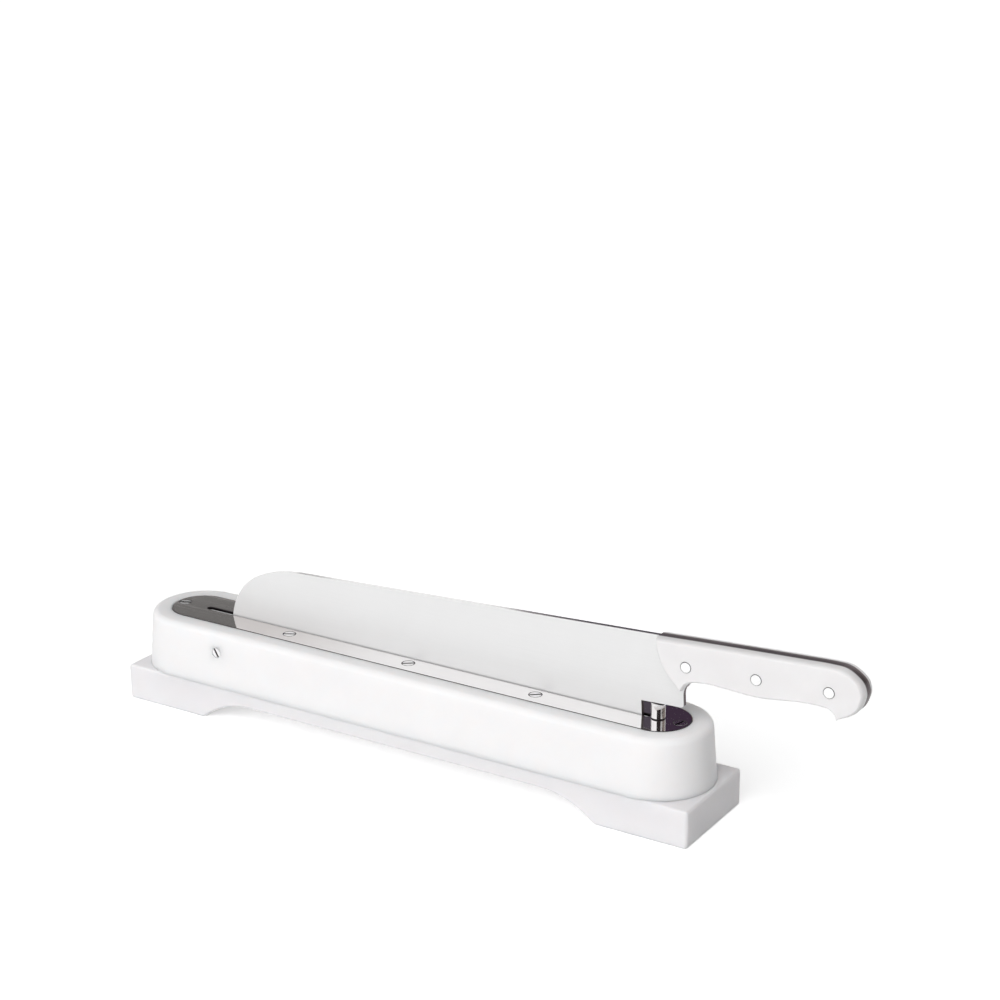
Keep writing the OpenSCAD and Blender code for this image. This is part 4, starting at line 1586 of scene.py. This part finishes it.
@dataclass
class Handle:
    """The two scales on the tang and the two-part rivets that hold them."""

    knife: Knife
    edge_w: float = 2 * MM
    edge_t: float = 4.5 * MM
    corner_w: float = 0.7 * MM
    edge_growth: float = 0.25
    # How many points on each side of a corner are looked at
    corner_reach: int = 8
    edge_steps: int = 12
    front_r: float = 37 * MM
    front_step: float = 2.0
    rivet_drop: float = 14.7 * MM
    rivet_from_front: float = 20.3 * MM
    rivet_from_butt: float = 20.4 * MM
    hole_gap: float = 0.1 * MM
    hole_edge: float = 0.18 * MM
    pin: Fastener = Fastener(
        head_r=3.4 * MM, head_h=2.5 * MM, neck_r=3.4 * MM, shank_r=1.6 * MM, length=11.25 * MM,
        rim=0.3 * MM, tip=0.3 * MM)
    tube: Fastener = Fastener(
        head_r=3.4 * MM, head_h=2.5 * MM, neck_r=3.4 * MM, shank_r=2.5 * MM, length=12.5 * MM,
        rim=0.3 * MM, tip=0.3 * MM, bore_r=1.7 * MM, bore_depth=7.5 * MM)

    @property
    def face_y(self) -> float:
        """How far a scale's face lies from the middle plane."""
        return Box.of("far_scale").hi.y

    def scale_outline(self) -> tuple[list[Point], list[Point]]:
        """The scale's side view, and its corners: the one on the spine, then the two sharp ones.

        Returns:
            The points in order, and those of the corners.
        """
        knife = self.knife
        middle = (knife.scale_u + self.front_r, knife.spine_h)
        hollow = knife.hollow_middle
        dx, dy = middle[0] - hollow[0], middle[1] - hollow[1]
        gap = math.hypot(dx, dy)
        along = (gap ** 2 + knife.finger_r ** 2 - self.front_r ** 2) / (2 * gap)
        across = math.sqrt(knife.finger_r ** 2 - along ** 2)
        tip = (hollow[0] + (along * dx - across * dy) / gap, hollow[1] + (along * dy + across * dx) / gap)
        front = math.degrees(math.atan2(tip[1] - middle[1], tip[0] - middle[0]))
        round_start = math.degrees(math.atan2(tip[1] - hollow[1], tip[0] - hollow[0]))
        butt = knife.butt_curve()
        front_curve = arc(middle, self.front_r, 180, 360 + front, self.front_step)
        outline = (front_curve + arc(hollow, knife.finger_r, round_start - ARC_STEP, 90 + knife.hollow_end)
                   + knife.grip_curve() + butt)
        return outline, [outline[0], front_curve[-1], butt[0]]

    def ring(self, outline: Sequence[Point], corners: Sequence[Point], share: float, y: float) -> Ring:
        """The scale's outline moved inwards by a share of its rounding, which narrows at sharp corners.

        Args:
            outline: The scale's outline.
            corners: Its corners: the one on the spine, then the sharp ones.
            share: The share of the rounding's width.
            y: How far the ring lies from the middle plane.

        Returns:
            The ring on the shut cutter.
        """
        found = []
        count = len(outline)
        inwards = []
        for i, (u, v) in enumerate(outline):
            before, after = outline[i - 1], outline[(i + 1) % count]
            n1 = Vector((before[1] - v, u - before[0])).normalized()
            n2 = Vector((v - after[1], after[0] - u)).normalized()
            near = min(math.hypot(u - x, v - z) for x, z in corners[1:])
            width = min(self.edge_w, self.corner_w + self.edge_growth * near)
            inwards.append((n1 + n2) / (1 + n1.dot(n2)))
            found.append(Vector((u, v)) + share * width * inwards[-1])
        for corner in corners:
            c = outline.index(corner)
            middle = inwards[c].normalized()
            # What crosses the corner's own bisector is drawn together into its tip
            for i in [(c + step) % count for step in range(-self.corner_reach, self.corner_reach + 1)]:
                side = (Vector(outline[i]) - Vector(corner)).cross(middle)
                if side * (found[i] - found[c]).cross(middle) <= 0:
                    found[i] = found[c].copy()
        return [self.knife.at(p.x, y, p.y) for p in found]

    def rivet_places(self) -> list[Point]:
        """Where the three rivets lie in the knife's side view.

        Returns:
            Their middles, from front to rear.
        """
        first = self.knife.scale_u + self.rivet_from_front
        last = self.knife.butt_u - self.rivet_from_butt
        return [(u, self.knife.spine_h - self.rivet_drop) for u in (first, (first + last) / 2, last)]

    def build_scale(self, name: str, side: int) -> bpy.types.Object:
        """Builds one scale with its rounded edge and its rivet holes.

        Args:
            name: The piece's name.
            side: -1 for the near side, 1 for the far side.

        Returns:
            The scale.
        """
        outline, corners = self.scale_outline()
        inner, face = self.knife.thickness / 2, self.face_y
        rings = [self.ring(outline, corners, 0.0, side * inner)]
        for k in range(self.edge_steps + 1):
            turn = math.radians(90 * k / self.edge_steps)
            rings.append(self.ring(outline, corners, 1 - math.cos(turn),
                                   side * (face - self.edge_t * (1 - math.sin(turn)))))
        scale = loft(name, rings)
        head_r, seat = self.pin.head_r + self.hole_gap, -self.pin.head_h
        shank_r, edge = self.tube.shank_r + self.hole_gap, self.hole_edge
        profile = [(shank_r, -face), (shank_r, seat), (head_r, seat), (head_r, -edge),
                   (head_r + edge + PAST, PAST)]
        axis = Axis.NEAR if side < 0 else Axis.FAR
        cut(scale, *[turned("hole", profile, self.knife.at(u, side * face, v), axis)
                     for u, v in self.rivet_places()])
        return SCALE_PLASTIC.dress(shade(scale))

    def build(self) -> None:
        """Builds the scales and the rivets."""
        for node, side in (("near_scale", -1), ("far_scale", 1)):
            scale = self.build_scale(f"{node}_shaped", side)
            hand_over(scale, Body.KNIFE, [node])
        for name, half, axis, side in (
                ("rivet_pin", self.pin, Axis.NEAR, -1), ("rivet_tube", self.tube, Axis.FAR, 1)):
            seeds = [Seed(self.knife.at(u, side * self.face_y, v), axis) for u, v in self.rivet_places()]
            piece = half.grow(f"{name}s", seeds, RIVET_METAL)
            hand_over(piece, Body.KNIFE, [
                f"{name}_{spot}" for spot in ("front", "middle", "rear")])


# The studio


@dataclass(frozen=True)
class Sun:
    """A wide soft lamp, far away. A level of 1 shows a white face turned to it as white."""

    name: str
    azimuth: float
    elevation: float
    level: float
    width: float

    def build(self) -> None:
        """Hangs the lamp. Azimuth 0 shines along +Y, and 90 along -X. Metal shows the room, not the lamp."""
        lamp = bpy.data.lights.new(self.name, "SUN")
        lamp.energy = math.pi * self.level
        lamp.angle = math.radians(self.width)
        a, e = math.radians(self.azimuth), math.radians(self.elevation)
        source = Vector((math.sin(a) * math.cos(e), -math.cos(a) * math.cos(e), math.sin(e)))
        holder = bpy.data.objects.new(self.name, lamp)
        holder.rotation_euler = source.to_track_quat("Z", "Y").to_euler()
        holder.visible_glossy = False
        bpy.context.scene.collection.objects.link(holder)


@dataclass(frozen=True)
class Card:
    """A dark card that only reflections show, upright and turned to the cutter."""

    name: str
    azimuth: float
    distance: float
    left: float
    right: float
    low: float
    high: float
    left_tone: Colour
    right_tone: Colour
    blend_to: float

    def build(self) -> None:
        """Stands the card on that azimuth, with its tone changing from its left edge to blend_to."""
        a = math.radians(self.azimuth)
        middle = Vector((math.sin(a), -math.cos(a), 0)) * self.distance
        # Seen from the cutter, this way is to the right
        along = Vector((-math.cos(a), -math.sin(a), 0))
        ends = [middle + along * self.left, middle + along * self.right]
        left, right = (end.xy for end in ends)
        points = [(*left, self.low), (*right, self.low), (*right, self.high), (*left, self.high)]
        card = new_object(self.name, [Vector(p) for p in points], [(0, 1, 2, 3)])
        made = bpy.data.materials.new(self.name)
        made.use_nodes = True
        made.node_tree.nodes.clear()
        nodes = Tree(made.node_tree)
        place = nodes.add("ShaderNodeTexCoord").outputs["Object"]
        across = nodes.add("ShaderNodeVectorMath", {0: place, 1: along}, operation="DOT_PRODUCT")
        share = spread(nodes, across.outputs["Value"], source=(self.left, self.blend_to))
        tone = blend(nodes, share, self.left_tone, self.right_tone)
        light = nodes.add("ShaderNodeEmission", {"Color": tone})
        nodes.add("ShaderNodeOutputMaterial", {"Surface": light})
        card.data.materials.append(made)
        for way in ("camera", "diffuse", "shadow", "transmission", "volume_scatter"):
            setattr(card, f"visible_{way}", False)


@dataclass
class Studio:
    """The floor, the lamps, the surroundings and the camera."""

    floor_reach: float = 9.0
    floor_drop: float = 0.1 * MM
    floor_colour: Colour = (0.88, 0.88, 0.88)
    floor_lift: float = 0.5
    ambient: float = 0.09
    camera_place: Vector = field(default_factory=lambda: Vector((693.669, -1079.590, 612.961)) * MM)
    camera_yaw: float = 32.135
    camera_pitch: float = 18.843
    camera_roll: float = -0.298
    camera_reach: float = 50.0
    lens: float = 81.014
    suns: tuple[Sun, ...] = (
        Sun("key_lamp", 11, 45, 0.68, 50),
        Sun("low_lamp", -20, 10, 0.3, 50),
        Sun("back_lamp", 190, 6, 0.6, 30))
    cards: tuple[Card, ...] = (
        Card("grey_card", 213, 1.0, -0.55, -0.19, 0.385, 0.9,
             (0.2, 0.2, 0.197), (0.2, 0.2, 0.197), -0.19),
        Card("dark_card", 213, 1.0, 0.01, 0.205, 0.38, 0.9,
             (0.2, 0.18, 0.19), (0.07, 0.058, 0.074), 0.08),
        Card("curtain_card", 213, 1.0, 0.205, 0.5, 0.38, 0.9,
             (0.045, 0.028, 0.048), (0.045, 0.028, 0.048), 0.5),
        Card("room_card", 40, 2.0, -1.3, 1.2, 0.45, 1.5,
             (0.03, 0.025, 0.025), (0.03, 0.025, 0.025), 1.2),
        Card("wall_card", 120, 2.0, -2.4, 1.7, 0.4, 1.6,
             (0.22, 0.19, 0.17), (0.22, 0.19, 0.17), 1.7))

    @staticmethod
    def seen_rays(nodes: Tree) -> bpy.types.Node:
        """Adds a value that is 1 on camera, glossy and transmission rays, and 0 on all others.

        Args:
            nodes: The tree to add it to.

        Returns:
            The node that gives the value.
        """
        rays = nodes.add("ShaderNodeLightPath").outputs
        both = nodes.math("MAXIMUM", rays["Is Camera Ray"], rays["Is Glossy Ray"])
        return nodes.math("MAXIMUM", both, rays["Is Transmission Ray"])

    def build_floor(self) -> None:
        """Lays the pale floor, lifted to white where it is seen, with the shadow kept."""
        reach, z = self.floor_reach, -self.floor_drop
        corners = [Vector((x * reach, y * reach, z)) for x, y in ((-1, -1), (1, -1), (1, 1), (-1, 1))]
        floor = new_object("floor", corners, [(0, 1, 2, 3)])
        made = bpy.data.materials.new("floor")
        made.use_nodes = True
        nodes = Tree(made.node_tree)
        shader = made.node_tree.nodes["Principled BSDF"]
        shader.inputs["Base Color"].default_value = (*self.floor_colour, 1.0)
        shader.inputs["Roughness"].default_value = 1.0
        shader.inputs["Specular IOR Level"].default_value = 0.0
        shader.inputs["Emission Color"].default_value = (*WHITE, 1.0)
        nodes.feed(shader.inputs["Emission Strength"],
                   nodes.math("MULTIPLY", self.seen_rays(nodes), self.floor_lift))
        floor.data.materials.append(made)

    def build_world(self) -> None:
        """Makes surroundings that are white where they are seen and dimmer as light."""
        world = bpy.data.worlds.new("surroundings")
        bpy.context.scene.world = world
        world.use_nodes = True
        nodes = Tree(world.node_tree)
        level = nodes.add("ShaderNodeMapRange", {
            "Value": self.seen_rays(nodes), "To Min": self.ambient, "To Max": 1.0})
        background = world.node_tree.nodes["Background"]
        background.inputs["Color"].default_value = (*WHITE, 1.0)
        nodes.feed(background.inputs["Strength"], level)

    def build_camera(self) -> None:
        """Stands the camera where the picture was taken from."""
        yaw, pitch, roll = (math.radians(a) for a in (self.camera_yaw, self.camera_pitch, self.camera_roll))
        ahead = Vector((-math.sin(yaw) * math.cos(pitch), math.cos(yaw) * math.cos(pitch), -math.sin(pitch)))
        right = Vector((math.cos(yaw), math.sin(yaw), 0))
        up = right.cross(ahead)
        across = math.cos(roll) * right + math.sin(roll) * up
        upright = -math.sin(roll) * right + math.cos(roll) * up
        turn = Matrix((across, upright, -ahead)).transposed().to_4x4()
        data = bpy.data.cameras.new("camera")
        data.lens = self.lens
        data.clip_end = self.camera_reach
        camera = bpy.data.objects.new("camera", data)
        camera.matrix_world = Matrix.Translation(self.camera_place) @ turn
        bpy.context.scene.collection.objects.link(camera)
        bpy.context.scene.camera = camera

    def build(self) -> None:
        """Builds the whole studio."""
        bpy.context.scene.view_settings.view_transform = "Standard"
        self.build_floor()
        self.build_world()
        self.build_camera()
        for part in (*self.suns, *self.cards):
            part.build()


def main() -> None:
    """Builds the cutter's pieces in order, then the studio."""
    logging.basicConfig(level=logging.INFO, format="%(message)s")
    places = Places.from_frame()
    board, plate, pivot = Board(places), Plate(places), Pivot(places)
    knife = Knife(places, plate)
    for part in (board, Block(places, board, plate, pivot), plate, pivot, knife, Handle(knife)):
        part.build()
    Studio().build()


if __name__ == "__main__":
    main()
